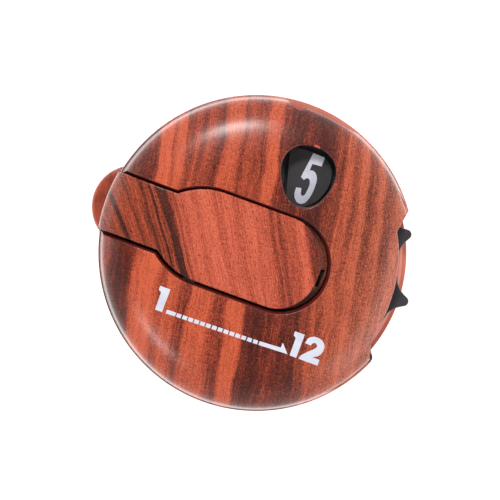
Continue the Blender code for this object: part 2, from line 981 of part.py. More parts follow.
def click_route():
    """The leaf spring's route, from its block past the release arm to the ratchet."""
    tip = polar(ratchet_root_radius + click_tip_clearance + click_spring_thickness, click_tip_deg, dial_x)
    bend = polar(ratchet_tip_radius + arm_wedge_length, click_tip_deg - click_bend_deg, dial_x)
    pressed = polar(arm_reach + click_tip_clearance, arm_deg, dial_x)
    root_y = pressed[1] - arm_wedge_length
    root_x = dial_x - arm_reach - click_block_width
    return [
        (root_x, root_y),
        (root_x + click_block_length + click_tip_clearance, root_y),
        pressed,
        bend,
        tip,
    ]


def make_ratchet_hub():
    hub = slab("ratchet_hub", ratchet_outline(), hub_low_z, ratchet_top_z, white_nylon)
    sleeve = rod(
        "hub_sleeve",
        sleeve_radius,
        (dial_x, 0.0, hub_low_z + sink),
        (dial_x, 0.0, flange_low_z - stack_gap),
        None,
    )
    drive = rod(
        "hub_drive",
        sleeve_radius,
        (dial_x, 0.0, ratchet_top_z),
        (dial_x, 0.0, web_top_z),
        None,
        sides=6,
    )
    add(hub, sleeve, drive)
    bore = rod(
        "hub_bore",
        post_radius + running_gap,
        (dial_x, 0.0, hub_low_z - overrun),
        (dial_x, 0.0, web_top_z + overrun),
        None,
    )
    slot_top_z = flange_low_z - stack_gap - return_spring_lift
    slot = block(
        "hub_slot",
        (dial_x, -hub_slot_width / 2, ratchet_top_z),
        (dial_x + sleeve_radius + overrun, hub_slot_width / 2, slot_top_z),
        None,
    )
    cut(hub, bore, slot)
    return hub


def make_centre_post():
    groove_radius = post_radius - ring_groove_depth
    cup_z = post_top_z - post_cup_depth
    foot_z = floor_z + post_foot_gap
    post = turned(
        "centre_post",
        [
            (post_cup_radius, post_top_z),
            (post_radius, post_top_z),
            (post_radius, ring_top_z + stack_gap),
            (groove_radius, ring_top_z + stack_gap),
            (groove_radius, ring_low_z - stack_gap),
            (post_radius, ring_low_z - stack_gap),
            (post_radius, foot_z),
            (post_bore_radius, foot_z),
            (post_bore_radius, cup_z),
            (post_cup_radius, cup_z),
        ],
        plated_steel,
        at=(dial_x, 0.0),
        steps=24,
        closed=True,
    )
    slot_half = arm_width / 2 + arm_slot_gap
    arm_slot = block(
        "arm_slot",
        (dial_x, -slot_half, floor_z - overrun),
        (dial_x + post_radius + overrun, slot_half, arm_low_z + arm_thickness + arm_slot_gap),
        None,
        turn=math.radians(arm_deg),
        pivot=(dial_x, 0.0),
    )
    cut(post, arm_slot)
    return post


def make_thrust_washer():
    inner = post_radius + running_gap
    outer = inner + washer_width
    low = boss_top_z + stack_gap
    return turned(
        "thrust_washer",
        [(inner, washer_top_z), (outer, washer_top_z), (outer, low), (inner, low)],
        white_nylon,
        at=(dial_x, 0.0),
        steps=32,
        closed=True,
    )


def make_retaining_ring():
    inner = post_radius - ring_groove_depth + running_gap
    gap = ring_opening_deg / 2
    outline = arc(dial_x, 0.0, inner + ring_width, gap, 360.0 - gap, 24)
    outline += arc(dial_x, 0.0, inner, 360.0 - gap, gap, 24)
    return slab("retaining_ring", outline, ring_low_z, ring_top_z, spring_steel)


def make_return_spring():
    """Counting up tightens it. Its inner end sits in the hub's slot, and its outer end hooks on the pin."""
    low = ratchet_top_z + return_spring_lift
    growth = return_spring_outer_radius - return_spring_inner_radius
    hook_radius = anchor_pin_radius + running_gap + return_spring_thickness
    last_deg = anchor_deg - 360.0 * math.ceil(return_spring_turns)
    steps = int(return_spring_turns * return_spring_turn_steps)
    route = [
        (dial_x + post_radius + sleeve_wall / 2, 0.0),
        (dial_x + sleeve_radius, 0.0),
        polar(return_spring_inner_radius, -return_spring_lead_deg / 2, dial_x),
    ]
    for step in range(steps + 1):
        share = step / steps
        degrees = -return_spring_lead_deg + (last_deg + return_spring_lead_deg) * share
        route.append(polar(return_spring_inner_radius + growth * share, degrees, dial_x))
    anchor_x, anchor_y = polar(anchor_ring_radius, anchor_deg, dial_x)
    route += arc(anchor_x, anchor_y, hook_radius, hook_low_deg, hook_high_deg, 8)
    return strip("return_spring", route, low, return_spring_height, return_spring_thickness, spring_steel)


def make_spring_anchor_pin():
    x, y = polar(anchor_ring_radius, anchor_deg, dial_x)
    low = floor_z + sink + stack_gap
    high = flange_low_z - anchor_pin_gap
    return rod("spring_anchor_pin", anchor_pin_radius, (x, y, low), (x, y, high), plated_steel, sides=16)


def make_click_spring():
    low = ratchet_top_z - click_spring_height
    route = click_route()
    return strip("click_spring", route, low, click_spring_height, click_spring_thickness, spring_steel)


def make_release_pin():
    foot_z = arm_low_z
    shoulder_z = arm_low_z + arm_thickness + stack_gap
    head_z = pin_top_z - pin_head_thickness
    return turned(
        "release_pin",
        [
            (0.0, pin_top_z),
            (pin_head_radius, pin_top_z),
            (pin_head_radius, head_z),
            (pin_radius, head_z),
            (pin_radius, shoulder_z),
            (pin_foot_radius, shoulder_z),
            (pin_foot_radius, foot_z),
            (0.0, foot_z),
        ],
        white_nylon,
        at=(dial_x, 0.0),
        steps=20,
    )


def make_release_arm():
    """A flat arm whose raised end leans outwards, so that going down it frees the ratchet."""
    half = arm_width / 2
    flat_end = arm_reach - arm_wedge_length
    flat = arc(0.0, 0.0, half, 90.0, 270.0, 8) + [(flat_end, -half), (flat_end, half)]
    turn = math.radians(arm_deg)
    placed = [
        (dial_x + x * math.cos(turn) - y * math.sin(turn), x * math.sin(turn) + y * math.cos(turn))
        for x, y in flat
    ]
    arm = slab("release_arm", placed, arm_low_z, arm_low_z + arm_thickness, white_nylon)
    start = arm_reach - arm_wedge_length * 2
    wedge = slab(
        "arm_wedge",
        [
            (dial_x + start, arm_low_z),
            (dial_x + flat_end, arm_low_z),
            (dial_x + arm_reach, arm_low_z + arm_wedge_height),
            (dial_x + start, arm_low_z + arm_wedge_height),
        ],
        -half,
        half,
        None,
        upright=True,
    )
    wedge.matrix_world = (
        Matrix.Translation((dial_x, 0.0, 0.0))
        @ Matrix.Rotation(turn, 4, "Z")
        @ Matrix.Translation((-dial_x, 0.0, 0.0))
        @ wedge.matrix_world
    )
    add(arm, wedge)
    eye = rod(
        "arm_eye",
        pin_foot_radius + running_gap,
        (dial_x, 0.0, arm_low_z - overrun),
        (dial_x, 0.0, arm_low_z + arm_thickness + overrun),
        None,
        sides=20,
    )
    cut(arm, eye)
    return arm


def make_button_spring():
    """A helix about the release pin, whose first and last turns climb by little more than the wire."""
    radius = (post_cup_radius + pin_radius) / 2
    wire_radius = button_spring_wire / 2
    low = post_top_z - post_cup_depth + wire_radius + button_spring_gap
    high = pin_top_z - pin_head_thickness - wire_radius - button_spring_gap
    end_rise = button_spring_wire + button_spring_gap
    turns = button_spring_turns + 2
    route = []
    for step in range(int(turns * button_spring_turn_steps) + 1):
        turn = step / button_spring_turn_steps
        open_share = min(max((turn - 1.0) / button_spring_turns, 0.0), 1.0)
        height = low + (high - low - end_rise * 2) * open_share + end_rise * 2 * turn / turns
        route.append((*polar(radius, 360.0 * turn, dial_x), height))
    return wire("button_spring", route, wire_radius, spring_steel)


def make_back_clip():
    half = clip_width / 2
    outline = arc(-clip_tab_reach + half, 0.0, half, 90.0, 270.0, 20)
    outline += arc(clip_jaw_reach - half, 0.0, half, -90.0, 90.0, 20)
    clip = slab("back_clip", outline, 0.0, clip_thickness, wood_print)
    ear_inner = clip_lug_offset + clip_lug_thickness + clip_ear_gap
    ears = [
        slab(
            "clip_ear",
            arc(-clip_pivot_x, clip_pivot_z, clip_ear_radius, 0.0, 180.0, 12)
            + [
                (-clip_pivot_x - clip_ear_radius, clip_thickness - sink),
                (-clip_pivot_x + clip_ear_radius, clip_thickness - sink),
            ],
            min(side * ear_inner, side * (ear_inner + clip_ear_thickness)),
            max(side * ear_inner, side * (ear_inner + clip_ear_thickness)),
            None,
            upright=True,
        )
        for side in (-1, 1)
    ]
    lip = slab(
        "clip_lip",
        [
            (clip_lip_x - clip_lip_length, clip_thickness - sink),
            (clip_lip_x + clip_lip_length, clip_thickness - sink),
            (clip_lip_x + clip_lip_length / 2, back_z - clip_lip_clearance),
            (clip_lip_x, back_z - clip_lip_clearance),
        ],
        -clip_lip_width / 2,
        clip_lip_width / 2,
        None,
        upright=True,
    )
    add(clip, *ears, lip)
    pin_hole = rod(
        "clip_pin_hole",
        clip_pin_radius + running_gap,
        (-clip_pivot_x, -clip_width / 2, clip_pivot_z),
        (-clip_pivot_x, clip_width / 2, clip_pivot_z),
        None,
    )
    cut(clip, pin_hole)
    return clip


def make_clip_pin():
    half = clip_lug_offset + clip_lug_thickness + clip_ear_gap + clip_ear_thickness
    return rod(
        "clip_pin",
        clip_pin_radius,
        (-clip_pivot_x, -half, clip_pivot_z),
        (-clip_pivot_x, half, clip_pivot_z),
        plated_steel,
        sides=16,
    )


def make_clip_spring():
    """A torsion spring on the clip's pin: one leg lies on the clip, the other against the housing."""
    wire_radius = clip_spring_wire / 2
    radius = clip_pin_radius + clip_spring_gap + wire_radius
    reach = clip_lug_offset - wire_radius - clip_spring_gap * 2
    total = int(clip_spring_turns * clip_spring_turn_steps)
    route = [(-clip_pivot_x - clip_spring_leg, -reach, clip_pivot_z - radius)]
    for step in range(total + 1):
        x, z = polar(radius, 270.0 + 360.0 * step / clip_spring_turn_steps, -clip_pivot_x, clip_pivot_z)
        route.append((x, -reach + 2 * reach * step / total, z))
    route.append((-clip_pivot_x - clip_spring_leg, reach, clip_pivot_z + radius))
    return wire("clip_spring", route, wire_radius, spring_steel)


def make_case_screw(number, side):
    seat_z = back_z + screw_counterbore_depth - screw_hole_gap
    x, y = -screw_x, side * screw_y
    screw = turned(
        f"case_screw_{number}",
        [
            (0.0, seat_z + screw_length - screw_head_thickness),
            (screw_radius / 2, seat_z + screw_length - screw_head_thickness),
            (screw_radius, seat_z + screw_length - screw_head_thickness - screw_radius),
            (screw_radius, seat_z),
            (screw_head_radius, seat_z),
            (screw_head_radius, seat_z - screw_head_thickness / 2),
            (screw_head_radius - screw_slot_width, seat_z - screw_head_thickness),
            (0.0, seat_z - screw_head_thickness),
        ],
        plated_steel,
        at=(x, y),
        steps=20,
    )
    low = seat_z - screw_head_thickness - overrun
    high = seat_z - screw_head_thickness / 2
    long_bar = block(
        "screw_cross",
        (x - screw_radius, y - screw_slot_width / 2, low),
        (x + screw_radius, y + screw_slot_width / 2, high),
        None,
    )
    short_bar = block(
        "screw_cross",
        (x - screw_slot_width / 2, y - screw_radius, low),
        (x + screw_slot_width / 2, y + screw_radius, high),
        None,
    )
    cut(screw, long_bar, short_bar)
    return screw


def carry(name, place, *pieces):
    """An empty on a joint's axis that carries the pieces which move about it."""
    axis = bpy.data.objects.new(name, None)
    counter.objects.link(axis)
    axis.location = place
    axis.empty_display_size = cover_rim_height
    for thing in pieces:
        thing.parent = axis
        thing.matrix_parent_inverse = Matrix.Translation(place).inverted()


def build():
    make_rear_housing()
    make_front_cover()
    make_button_pin()
    make_centre_post()
    make_thrust_washer()
    make_retaining_ring()
    make_return_spring()
    make_spring_anchor_pin()
    make_click_spring()
    make_button_spring()
    make_clip_pin()
    make_clip_spring()
    make_case_screw(1, 1)
    make_case_screw(2, -1)
    carry("dial_axis", (dial_x, 0.0, flange_low_z), make_number_dial(), make_ratchet_hub())
    carry("button_axis", (-hinge_x, 0.0, hinge_z), make_reset_button())
    carry("release_axis", (dial_x, 0.0, pin_top_z), make_release_pin(), make_release_arm())
    carry("clip_axis", (-clip_pivot_x, 0.0, clip_pivot_z), make_back_clip())


build()
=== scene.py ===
import json
import math

import bmesh
import bpy
from mathutils import Matrix, Vector


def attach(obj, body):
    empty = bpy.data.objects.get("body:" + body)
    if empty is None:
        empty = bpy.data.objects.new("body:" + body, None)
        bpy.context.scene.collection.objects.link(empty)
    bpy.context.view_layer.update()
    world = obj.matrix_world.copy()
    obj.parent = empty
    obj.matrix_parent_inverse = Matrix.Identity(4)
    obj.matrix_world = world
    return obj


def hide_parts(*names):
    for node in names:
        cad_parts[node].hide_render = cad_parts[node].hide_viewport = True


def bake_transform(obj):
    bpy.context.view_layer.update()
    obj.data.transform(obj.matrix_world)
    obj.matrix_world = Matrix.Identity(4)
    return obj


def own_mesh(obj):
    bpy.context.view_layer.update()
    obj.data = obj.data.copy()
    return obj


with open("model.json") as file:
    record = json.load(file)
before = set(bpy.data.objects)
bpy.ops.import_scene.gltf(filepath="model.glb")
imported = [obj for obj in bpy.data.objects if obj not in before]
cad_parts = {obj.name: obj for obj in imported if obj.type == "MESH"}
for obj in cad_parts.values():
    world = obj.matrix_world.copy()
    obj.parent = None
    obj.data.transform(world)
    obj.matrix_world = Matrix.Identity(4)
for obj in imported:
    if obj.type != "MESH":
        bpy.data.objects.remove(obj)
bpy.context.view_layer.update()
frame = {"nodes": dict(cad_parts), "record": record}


# ------------ studio
# A sheet of white card under the counter, a softbox above the window side and a weaker one
# on the other, and a long lens that looks almost straight down on the number face.
scene = bpy.context.scene
scene.view_settings.view_transform = "Standard"

# From the counter to the camera, and the picture's own up and right.
sight = Vector((-0.036, 0.02, 1.0)).normalized()
upward = Vector((-0.342, 0.94, 0.0))
across = upward.cross(sight).normalized()
upward = sight.cross(across)
aim = Vector((-0.00065, -0.00004, 0.009)) + upward * 0.00013
camera_distance = 1.2
view_width = 0.04566
lens = bpy.data.cameras.new("camera")
lens.sensor_width = 36.0
lens.lens = lens.sensor_width * camera_distance / view_width
lens.clip_start = 0.05
lens.clip_end = 5.0
camera = bpy.data.objects.new("camera", lens)
scene.collection.objects.link(camera)
turn = Matrix((across, upward, sight)).transposed().to_4x4()
camera.matrix_world = Matrix.Translation(aim + sight * camera_distance) @ turn
scene.camera = camera


class Socket:
    """A value in a finish's nodes. Sums and products of values add their own Math nodes."""

    def __init__(self, tree, out=None):
        self.tree = tree
        self.out = out

    def node(self, kind, settings=None, inputs=None, out=0):
        made = self.tree.nodes.new("ShaderNode" + kind)
        for name, value in (settings or {}).items():
            if name == "stops":
                stops = made.color_ramp.elements
                while len(stops) > 1:
                    stops.remove(stops[0])
                for number, (place, colour) in enumerate(value):
                    stop = stops[0] if number == 0 else stops.new(place)
                    stop.position = place
                    stop.color = (*colour, 1.0)
            elif name == "points":
                curve = made.mapping.curves[0]
                while len(curve.points) < len(value):
                    curve.points.new(0.5, 0.5)
                for point, place in zip(curve.points, value):
                    point.location = place
                made.mapping.update()
            else:
                setattr(made, name, value)
        for place, value in (inputs or {}).items():
            if isinstance(value, Socket):
                self.tree.links.new(value.out, made.inputs[place])
            else:
                made.inputs[place].default_value = value
        return Socket(self.tree, made.outputs[out])

    def math(self, operation, first, second=0.0):
        return self.node("Math", {"operation": operation}, {0: first, 1: second})

    def into(self, node, name):
        self.tree.links.new(self.out, node.inputs[name])

    def __add__(self, other):
        return self.math("ADD", self, other)

    def __sub__(self, other):
        return self.math("SUBTRACT", self, other)

    def __rsub__(self, other):
        return self.math("SUBTRACT", other, self)

    def __mul__(self, other):
        return self.math("MULTIPLY", self, other)

    def __truediv__(self, other):
        return self.math("DIVIDE", self, other)

    __radd__ = __add__
    __rmul__ = __mul__


def shades(red, green, blue):
    """A colour given as it looks on a screen, as the light values that the nodes want."""
    parts = [level / 255.0 for level in (red, green, blue)]
    return [part / 12.92 if part <= 0.04045 else ((part + 0.055) / 1.055) ** 2.4 for part in parts]


def new_finish(name, roughness=0.5):
    """A material, a socket that its nodes start from, and the shader that they end in."""
    made = bpy.data.materials.new(name)
    made.use_nodes = True
    shader = made.node_tree.nodes["Principled BSDF"]
    shader.inputs["Roughness"].default_value = roughness
    return made, Socket(made.node_tree), shader


def ramp(value, stops):
    """A colour from a value, between colours given as they look on a screen."""
    stops = [(place, shades(*colour)) for place, colour in stops]
    return value.node("ValToRGB", {"stops": stops}, {"Fac": value})


def fade(value, start, end, low=0.0, high=1.0, kind="SMOOTHSTEP"):
    """A level that goes from low to high while a value goes from start to end."""
    limits = {0: value, 1: start, 2: end, 3: low, 4: high}
    return value.node("MapRange", {"interpolation_type": kind}, limits)


def two_tone(shader, value, dark, light):
    """Colours a finish between two close tones, by a value about a half."""
    ramp(value, ((0.3, dark), (0.7, light))).into(shader, "Base Color")


def mixed(share, first, second):
    """A blend of two colours, which is all of the second where the share is 1."""
    return share.node("Mix", {"data_type": "RGBA"}, {0: share, 6: first, 7: second}, 2)


def ray_kinds(tree):
    """Whether a ray comes straight from the camera, and whether it is a reflection."""
    path = tree.nodes.new("ShaderNodeLightPath")
    direct = Socket(tree, path.outputs["Is Camera Ray"])
    direct = direct + Socket(tree, path.outputs["Is Transmission Ray"])
    return direct, Socket(tree, path.outputs["Is Glossy Ray"])


card, nodes, shader = new_finish("white_card", 0.9)
seen, mirrored = ray_kinds(card.node_tree)
shader.inputs["Base Color"].default_value = (0.9, 0.9, 0.9, 1.0)
shader.inputs["Specular IOR Level"].default_value = 0.0
glow = nodes.node("Emission", {}, {
    "Color": (1.0, 1.0, 1.0, 1.0), "Strength": seen * 0.62 + mirrored * 1.1,
})
plain = Socket(card.node_tree, shader.outputs[0])
both = nodes.node("AddShader", {}, {0: plain, 1: glow})
both.into(card.node_tree.nodes["Material Output"], "Surface")

sheet = bmesh.new()
bmesh.ops.create_grid(sheet, x_segments=1, y_segments=1, size=0.6)
floor_mesh = bpy.data.meshes.new("floor")
sheet.to_mesh(floor_mesh)
sheet.free()
floor_mesh.materials.append(card)
floor = bpy.data.objects.new("floor", floor_mesh)
scene.collection.objects.link(floor)


def softbox(name, toward, tilt_deg, distance, width, height, watts, colour):
    """A lamp that shines on the case from a side of the picture, leaning from straight above."""
    lean = math.radians(tilt_deg)
    side = (across * toward[0] + upward * toward[1]).normalized()
    ray = (side * math.sin(lean) + sight * math.cos(lean)).normalized()
    lamp = bpy.data.lights.new(name, "AREA")
    lamp.shape = "RECTANGLE"
    lamp.size = width
    lamp.size_y = height
    lamp.energy = watts
    lamp.color = colour
    thing = bpy.data.objects.new(name, lamp)
    scene.collection.objects.link(thing)
    thing.location = aim + ray * distance
    thing.rotation_mode = "QUATERNION"
    thing.rotation_quaternion = ray.to_track_quat("Z", "Y")


softbox("main_softbox", (-0.12, 1.0), 37.0, 0.45, 0.12, 0.07, 0.9, (1.0, 0.98, 0.97))
softbox("second_softbox", (-1.0, -1.0), 45.0, 0.45, 0.12, 0.07, 0.3, (1.0, 0.98, 0.97))
softbox("side_softbox", (1.0, -0.55), 60.0, 0.5, 0.45, 0.35, 1.0, (1.0, 0.97, 0.94))
softbox("left_softbox", (-1.0, 0.22), 77.0, 0.45, 0.2, 0.12, 0.16, (1.0, 0.99, 0.98))

room = bpy.data.worlds.new("room")
scene.world = room
room.use_nodes = True
nodes = Socket(room.node_tree)
seen, mirrored = ray_kinds(room.node_tree)
direction = nodes.node("TexCoord", out=0)
height = nodes.node("SeparateXYZ", {}, {0: direction}, 2)
walls = fade(height, 0.35, 0.85, 1.0, 0.12)
background = room.node_tree.nodes["Background"]
background.inputs["Color"].default_value = (1.0, 1.0, 1.0, 1.0)
(0.5 + seen * 0.5 + mirrored * (walls - 0.5)).into(background, "Strength")


# ------------ front cover
# The domed cover is moulded ABS with a wood grain printed on its outside. A keyhole opening
# holds the button and an egg-shaped window shows the dial; the moulded edges are slightly round.
cover_radius = 14.35
rim_z = 9.0
cover_top_z = 12.4
seam_z = 8.0
seam_gap = 0.12
wall = 1.1
edge_round = 0.12
window_round = 0.2
relief_round = 0.09
case_steps = 240
button_gap = 0.34
dial_x = 2.3
notch_low_deg = -23.6
notch_high_deg = 35.5


def dome(radius, crown_z, count=26):
    """Points down a nearly flat crown that rounds into an upright rim."""
    steps = [math.radians(90.0 * step / count) for step in range(count + 1)]
    rise = crown_z - rim_z
    return [(radius * math.sqrt(math.sin(step)), rim_z + rise * math.cos(step)) for step in steps]


def crown(x, y, radius=cover_radius, crown_z=cover_top_z):
    """The height of such a crown over a point."""
    share = min(1.0, math.hypot(x, y) / radius)
    return rim_z + (crown_z - rim_z) * math.sqrt(1.0 - share ** 4)


def bow(x, y, wide, high, start_deg, end_deg, count=14):
    """Points along part of an ellipse about a centre."""
    sweep = end_deg - start_deg
    turns = [math.radians(start_deg + sweep * step / count) for step in range(count + 1)]
    return [(x + wide * math.cos(turn), y + high * math.sin(turn)) for turn in turns]


def arc(x, y, radius, start_deg, end_deg, count):
    return bow(x, y, radius, radius, start_deg, end_deg, count)


def around(x, y, radius, turn_deg):
    """The point at an angle about a centre."""
    return bow(x, y, radius, radius, turn_deg, turn_deg, 1)[0]


def turned(profile, x=0.0, steps=case_steps, start_deg=0.0, sweep_deg=360.0):
    """A shape spun about an upright axis from points (radius, height)."""
    shape = bmesh.new()
    corners = [shape.verts.new((x + radius, 0.0, height)) for radius, height in profile]
    edges = [shape.edges.new(pair) for pair in zip(corners, corners[1:])]
    closed = sweep_deg == 360.0
    if profile[0][0] or profile[-1][0]:
        edges.append(shape.edges.new((corners[-1], corners[0])))
    if start_deg:
        begin = Matrix.Rotation(math.radians(start_deg), 3, "Z")
        bmesh.ops.rotate(shape, verts=corners, cent=(x, 0.0, 0.0), matrix=begin)
    faces = [] if closed else [shape.faces.new(corners)]
    bmesh.ops.spin(
        shape, geom=corners + edges + faces, cent=(x, 0.0, 0.0), axis=(0.0, 0.0, 1.0),
        angle=math.radians(sweep_deg), steps=steps, use_merge=closed, use_duplicate=False,
    )
    bmesh.ops.remove_doubles(shape, verts=shape.verts, dist=0.001)
    bmesh.ops.recalc_face_normals(shape, faces=shape.faces)
    return shape


def prism(outline, low, high):
    """An outline given a height."""
    shape = bmesh.new()
    face = shape.faces.new([shape.verts.new((x, y, low)) for x, y in outline])
    grown = bmesh.ops.extrude_face_region(shape, geom=[face])["geom"]
    lifted = [part for part in grown if isinstance(part, bmesh.types.BMVert)]
    bmesh.ops.translate(shape, verts=lifted, vec=(0.0, 0.0, high - low))
    bmesh.ops.recalc_face_normals(shape, faces=shape.faces)
    return shape


def upright_prism(outline, low_y, high_y):
    """The same on its side: an outline of points (x, z) given a width along y."""
    shape = prism(outline, low_y, high_y)
    swapped = Matrix(((1, 0, 0, 0), (0, 0, 1, 0), (0, 1, 0, 0), (0, 0, 0, 1)))
    bmesh.ops.transform(shape, verts=shape.verts, matrix=swapped)
    bmesh.ops.reverse_faces(shape, faces=shape.faces)
    return shape


def lugs(outline, near_y, far_y):
    """Two such shapes, one on each side of the middle."""
    return [upright_prism(outline, low, high) for low, high in ((-far_y, -near_y), (near_y, far_y))]


def pin(radius, start, end, sides=48):
    """A round rod between two points."""
    shape = bmesh.new()
    line = Vector(end) - Vector(start)
    place = Matrix.Translation((Vector(start) + Vector(end)) / 2)
    place = place @ line.to_track_quat("Z", "Y").to_matrix().to_4x4()
    bmesh.ops.create_cone(
        shape, cap_ends=True, segments=sides, radius1=radius, radius2=radius,
        depth=line.length, matrix=place,
    )
    return shape


def post(radius, low, high, place=(dial_x, 0.0), sides=48):
    """An upright rod, about the dial's axis or at another place."""
    return pin(radius, (*place, low), (*place, high), sides)


def rounded(shape, offset, segments):
    """Rounds the level edges of a shape with a flat top and bottom."""
    rims = [edge for edge in shape.edges if edge.verts[0].co.z == edge.verts[1].co.z]
    bmesh.ops.bevel(
        shape, geom=rims, offset=offset, segments=segments, profile=0.5, affect="EDGES",
        material=-1, offset_type="OFFSET", clamp_overlap=True,
    )


def tube(rings, marked=()):
    """A closed skin over rings of points. The walls that start at the marked rings get a mark."""
    shape = bmesh.new()
    loops = []
    for ring in rings:
        corners = [shape.verts.new(point) for point in ring]
        loops.append([shape.edges.new(pair) for pair in zip(corners[-1:] + corners, corners)])
    for place, (first, second) in enumerate(zip(loops, loops[1:])):
        for face in bmesh.ops.bridge_loops(shape, edges=first + second)["faces"]:
            face.material_index = 1 if place in marked else 0
    bmesh.ops.contextual_create(shape, geom=loops[0])
    bmesh.ops.contextual_create(shape, geom=loops[-1])
    bmesh.ops.recalc_face_normals(shape, faces=shape.faces)
    return shape


def flared(outline, low, top, round_by, surface, inward=False, draft=0.0, depth_of_draft=1.0):
    """A cutter whose wall bends away at a domed surface, so that the edge it leaves is round.

    The outline is a function that takes a growth and gives points, and with inward the round
    falls inside it. Below the round, the wall leans in by the draft over a depth."""
    way = -1.0 if inward else 1.0
    levels = [(-draft, None), (-draft, -depth_of_draft)] if draft else [(0.0, None)]
    for lean_deg in (0.0, 14.0, 28.0, 42.0, 56.0, 70.0):
        lean = math.radians(lean_deg)
        levels.append((round_by * (1.0 - math.cos(lean)), round_by * (math.sin(lean) - 1.0)))
    levels.append((round_by * 1.06, round_by * 0.09))
    levels.append((round_by * 1.06, math.inf))
    rings = []
    for growth, depth in levels:
        ring = []
        for x, y in outline(way * growth):
            z = low if depth is None else top if depth == math.inf else surface(x, y) + depth
            ring.append((x, y, z))
        rings.append(ring)
    return tube(rings, (0, 1) if draft else (0,))


# A boolean keeps its faces' marks only where the meshes have as many material slots.
marks_kept = 4


def fitted(shape, operation, tools, mark=1):
    """A shape with others cut out of it, added to it or kept in common with it.

    The walls that the others leave get a mark, or keep the others' own where there is none."""
    things = []
    for number, part in enumerate([shape] + tools):
        if number and mark is not None:
            for face in part.faces:
                face.material_index = mark
        mesh = bpy.data.meshes.new("fitting")
        part.to_mesh(mesh)
        part.free()
        for _ in range(marks_kept):
            mesh.materials.append(None)
        thing = bpy.data.objects.new("fitting", mesh)
        scene.collection.objects.link(thing)
        things.append(thing)
    for tool in things[1:]:
        step = things[0].modifiers.new("fitting", "BOOLEAN")
        step.operation = operation
        step.solver = "EXACT"
        step.object = tool
    bpy.context.view_layer.update()
    worked = things[0].evaluated_get(bpy.context.evaluated_depsgraph_get())
    done = bpy.data.meshes.new_from_object(worked)
    result = bmesh.new()
    result.from_mesh(done)
    bpy.data.meshes.remove(done)
    for thing in things:
        mesh = thing.data
        bpy.data.objects.remove(thing)
        bpy.data.meshes.remove(mesh)
    bmesh.ops.remove_doubles(result, verts=result.verts, dist=0.0005)
    return result


def settle(name, shape, body, finishes, nodes=(), smooth_deg=32.0):
    """Makes a smooth piece in metres of a shape in millimetres, and lets it ride on its body."""
    bmesh.ops.scale(shape, verts=shape.verts, vec=(0.001, 0.001, 0.001))
    mesh = bpy.data.meshes.new(name)
    shape.to_mesh(mesh)
    shape.free()
    for finish in finishes:
        mesh.materials.append(finish)
    mesh.shade_smooth()
    mesh.set_sharp_from_angle(angle=math.radians(smooth_deg))
    thing = bpy.data.objects.new(name, mesh)
    scene.collection.objects.link(thing)
    if body:
        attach(thing, body)
    if nodes:
        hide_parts(*nodes)
    return thing


neck_half = 2.75
head_half = 4.25
neck_end = -8.7
flare_end = -4.7
head_x = 2.25


def keyhole(grow=0.0, left_x=-cover_radius - 1.0, corner=0.0):
    """The button's outline: a narrow neck, rounded shoulders and a round head, grown evenly."""
    neck = neck_half + grow
    head = head_half + grow
    end = neck_end - grow / 2
    radius = ((flare_end - end) ** 2 + (head - neck) ** 2) / (2 * (head - neck))
    lean = math.degrees(math.asin((flare_end - end) / radius))
    upper = arc(flare_end, head - radius, radius, 90.0 + lean, 90.0, 14)
    lower = [(x, -y) for x, y in reversed(upper)]
    side = [flare_end + (head_x - flare_end) * step / 10 for step in range(1, 10)]
    neck_side = [left_x + corner + (end - left_x - corner) * step / 9 for step in range(1, 9)]
    left_low = [(left_x, -neck)]
    left_high = [(left_x, neck)]
    if corner:
        left_low = arc(left_x + corner, corner - neck, corner, 270.0, 180.0, 6)
        left_high = arc(left_x + corner, neck - corner, corner, 180.0, 90.0, 6)
    return (
        upper + [(x, head) for x in side] + arc(head_x, 0.0, head, 90.0, -90.0, 60)
        + [(x, -head) for x in reversed(side)] + lower + [(x, -neck) for x in reversed(neck_side)]
        + left_low + left_high + [(x, neck) for x in neck_side]
    )


window_x = 1.8
window_y = 8.25
window_radius = 2.65
window_steps = 96
window_waves = ((1, 0.026, 73.8), (2, 0.065, -155.6), (3, 0.047, 99.8))


def window(grow=0.0):
    """A rounded, slightly egg-shaped opening."""
    outline = []
    for step in range(window_steps):
        turn = math.radians(-360.0 * step / window_steps)
        waves = [
            share * math.cos(order * turn - math.radians(lag)) for order, share, lag in window_waves
        ]
        radius = window_radius * (1.0 + sum(waves)) + grow
        outline.append((window_x + radius * math.cos(turn), window_y + radius * math.sin(turn)))
    return outline


def rim_cut(depth, low_deg, high_deg, ramp_deg, radius, grow=0.0, low_ramp_deg=None):
    """A cutter that takes the rim back by a depth between two angles, with slanting ends.

    The slant at the high end takes ramp_deg, and so does the low one if it isn't given apart."""
    low_ramp_deg = low_ramp_deg or ramp_deg
    wider = math.degrees(grow / radius)
    low, high = low_deg - wider, high_deg + wider
    reach = radius - depth - grow
    inner = arc(0.0, 0.0, reach, low_deg + low_ramp_deg, high_deg - ramp_deg, 40)
    outer = arc(0.0, 0.0, radius + 1.0, high, low, 20)
    return inner + [around(0.0, 0.0, radius, high)] + outer + [around(0.0, 0.0, radius, low)]


# Below draft_radius the dome turns into a side that leans out down to a small round corner.
low_corner = 0.08
low_z = seam_z + seam_gap
draft_radius = 14.06
draft_z = crown(draft_radius, 0.0)
cover_outside = [point for point in dome(cover_radius, cover_top_z, 40) if point[0] < draft_radius]
cover_outside += [
    (draft_radius + 0.06, draft_z - 0.16),
    (cover_radius, low_z + low_corner),
    (cover_radius - low_corner * 0.3, low_z + low_corner * 0.3),
    (cover_radius - low_corner, low_z),
]
cover_inside = dome(cover_radius - wall, cover_top_z - wall, 14) + [(cover_radius - wall, low_z)]
cover = turned(cover_outside + list(reversed(cover_inside)))
for face in cover.faces:
    middle = face.calc_center_median()
    on_dome = middle.z > crown(middle.x, middle.y) - 0.3
    on_side = math.hypot(middle.x, middle.y) > cover_radius - 0.5
    face.material_index = 0 if on_dome or on_side else 1

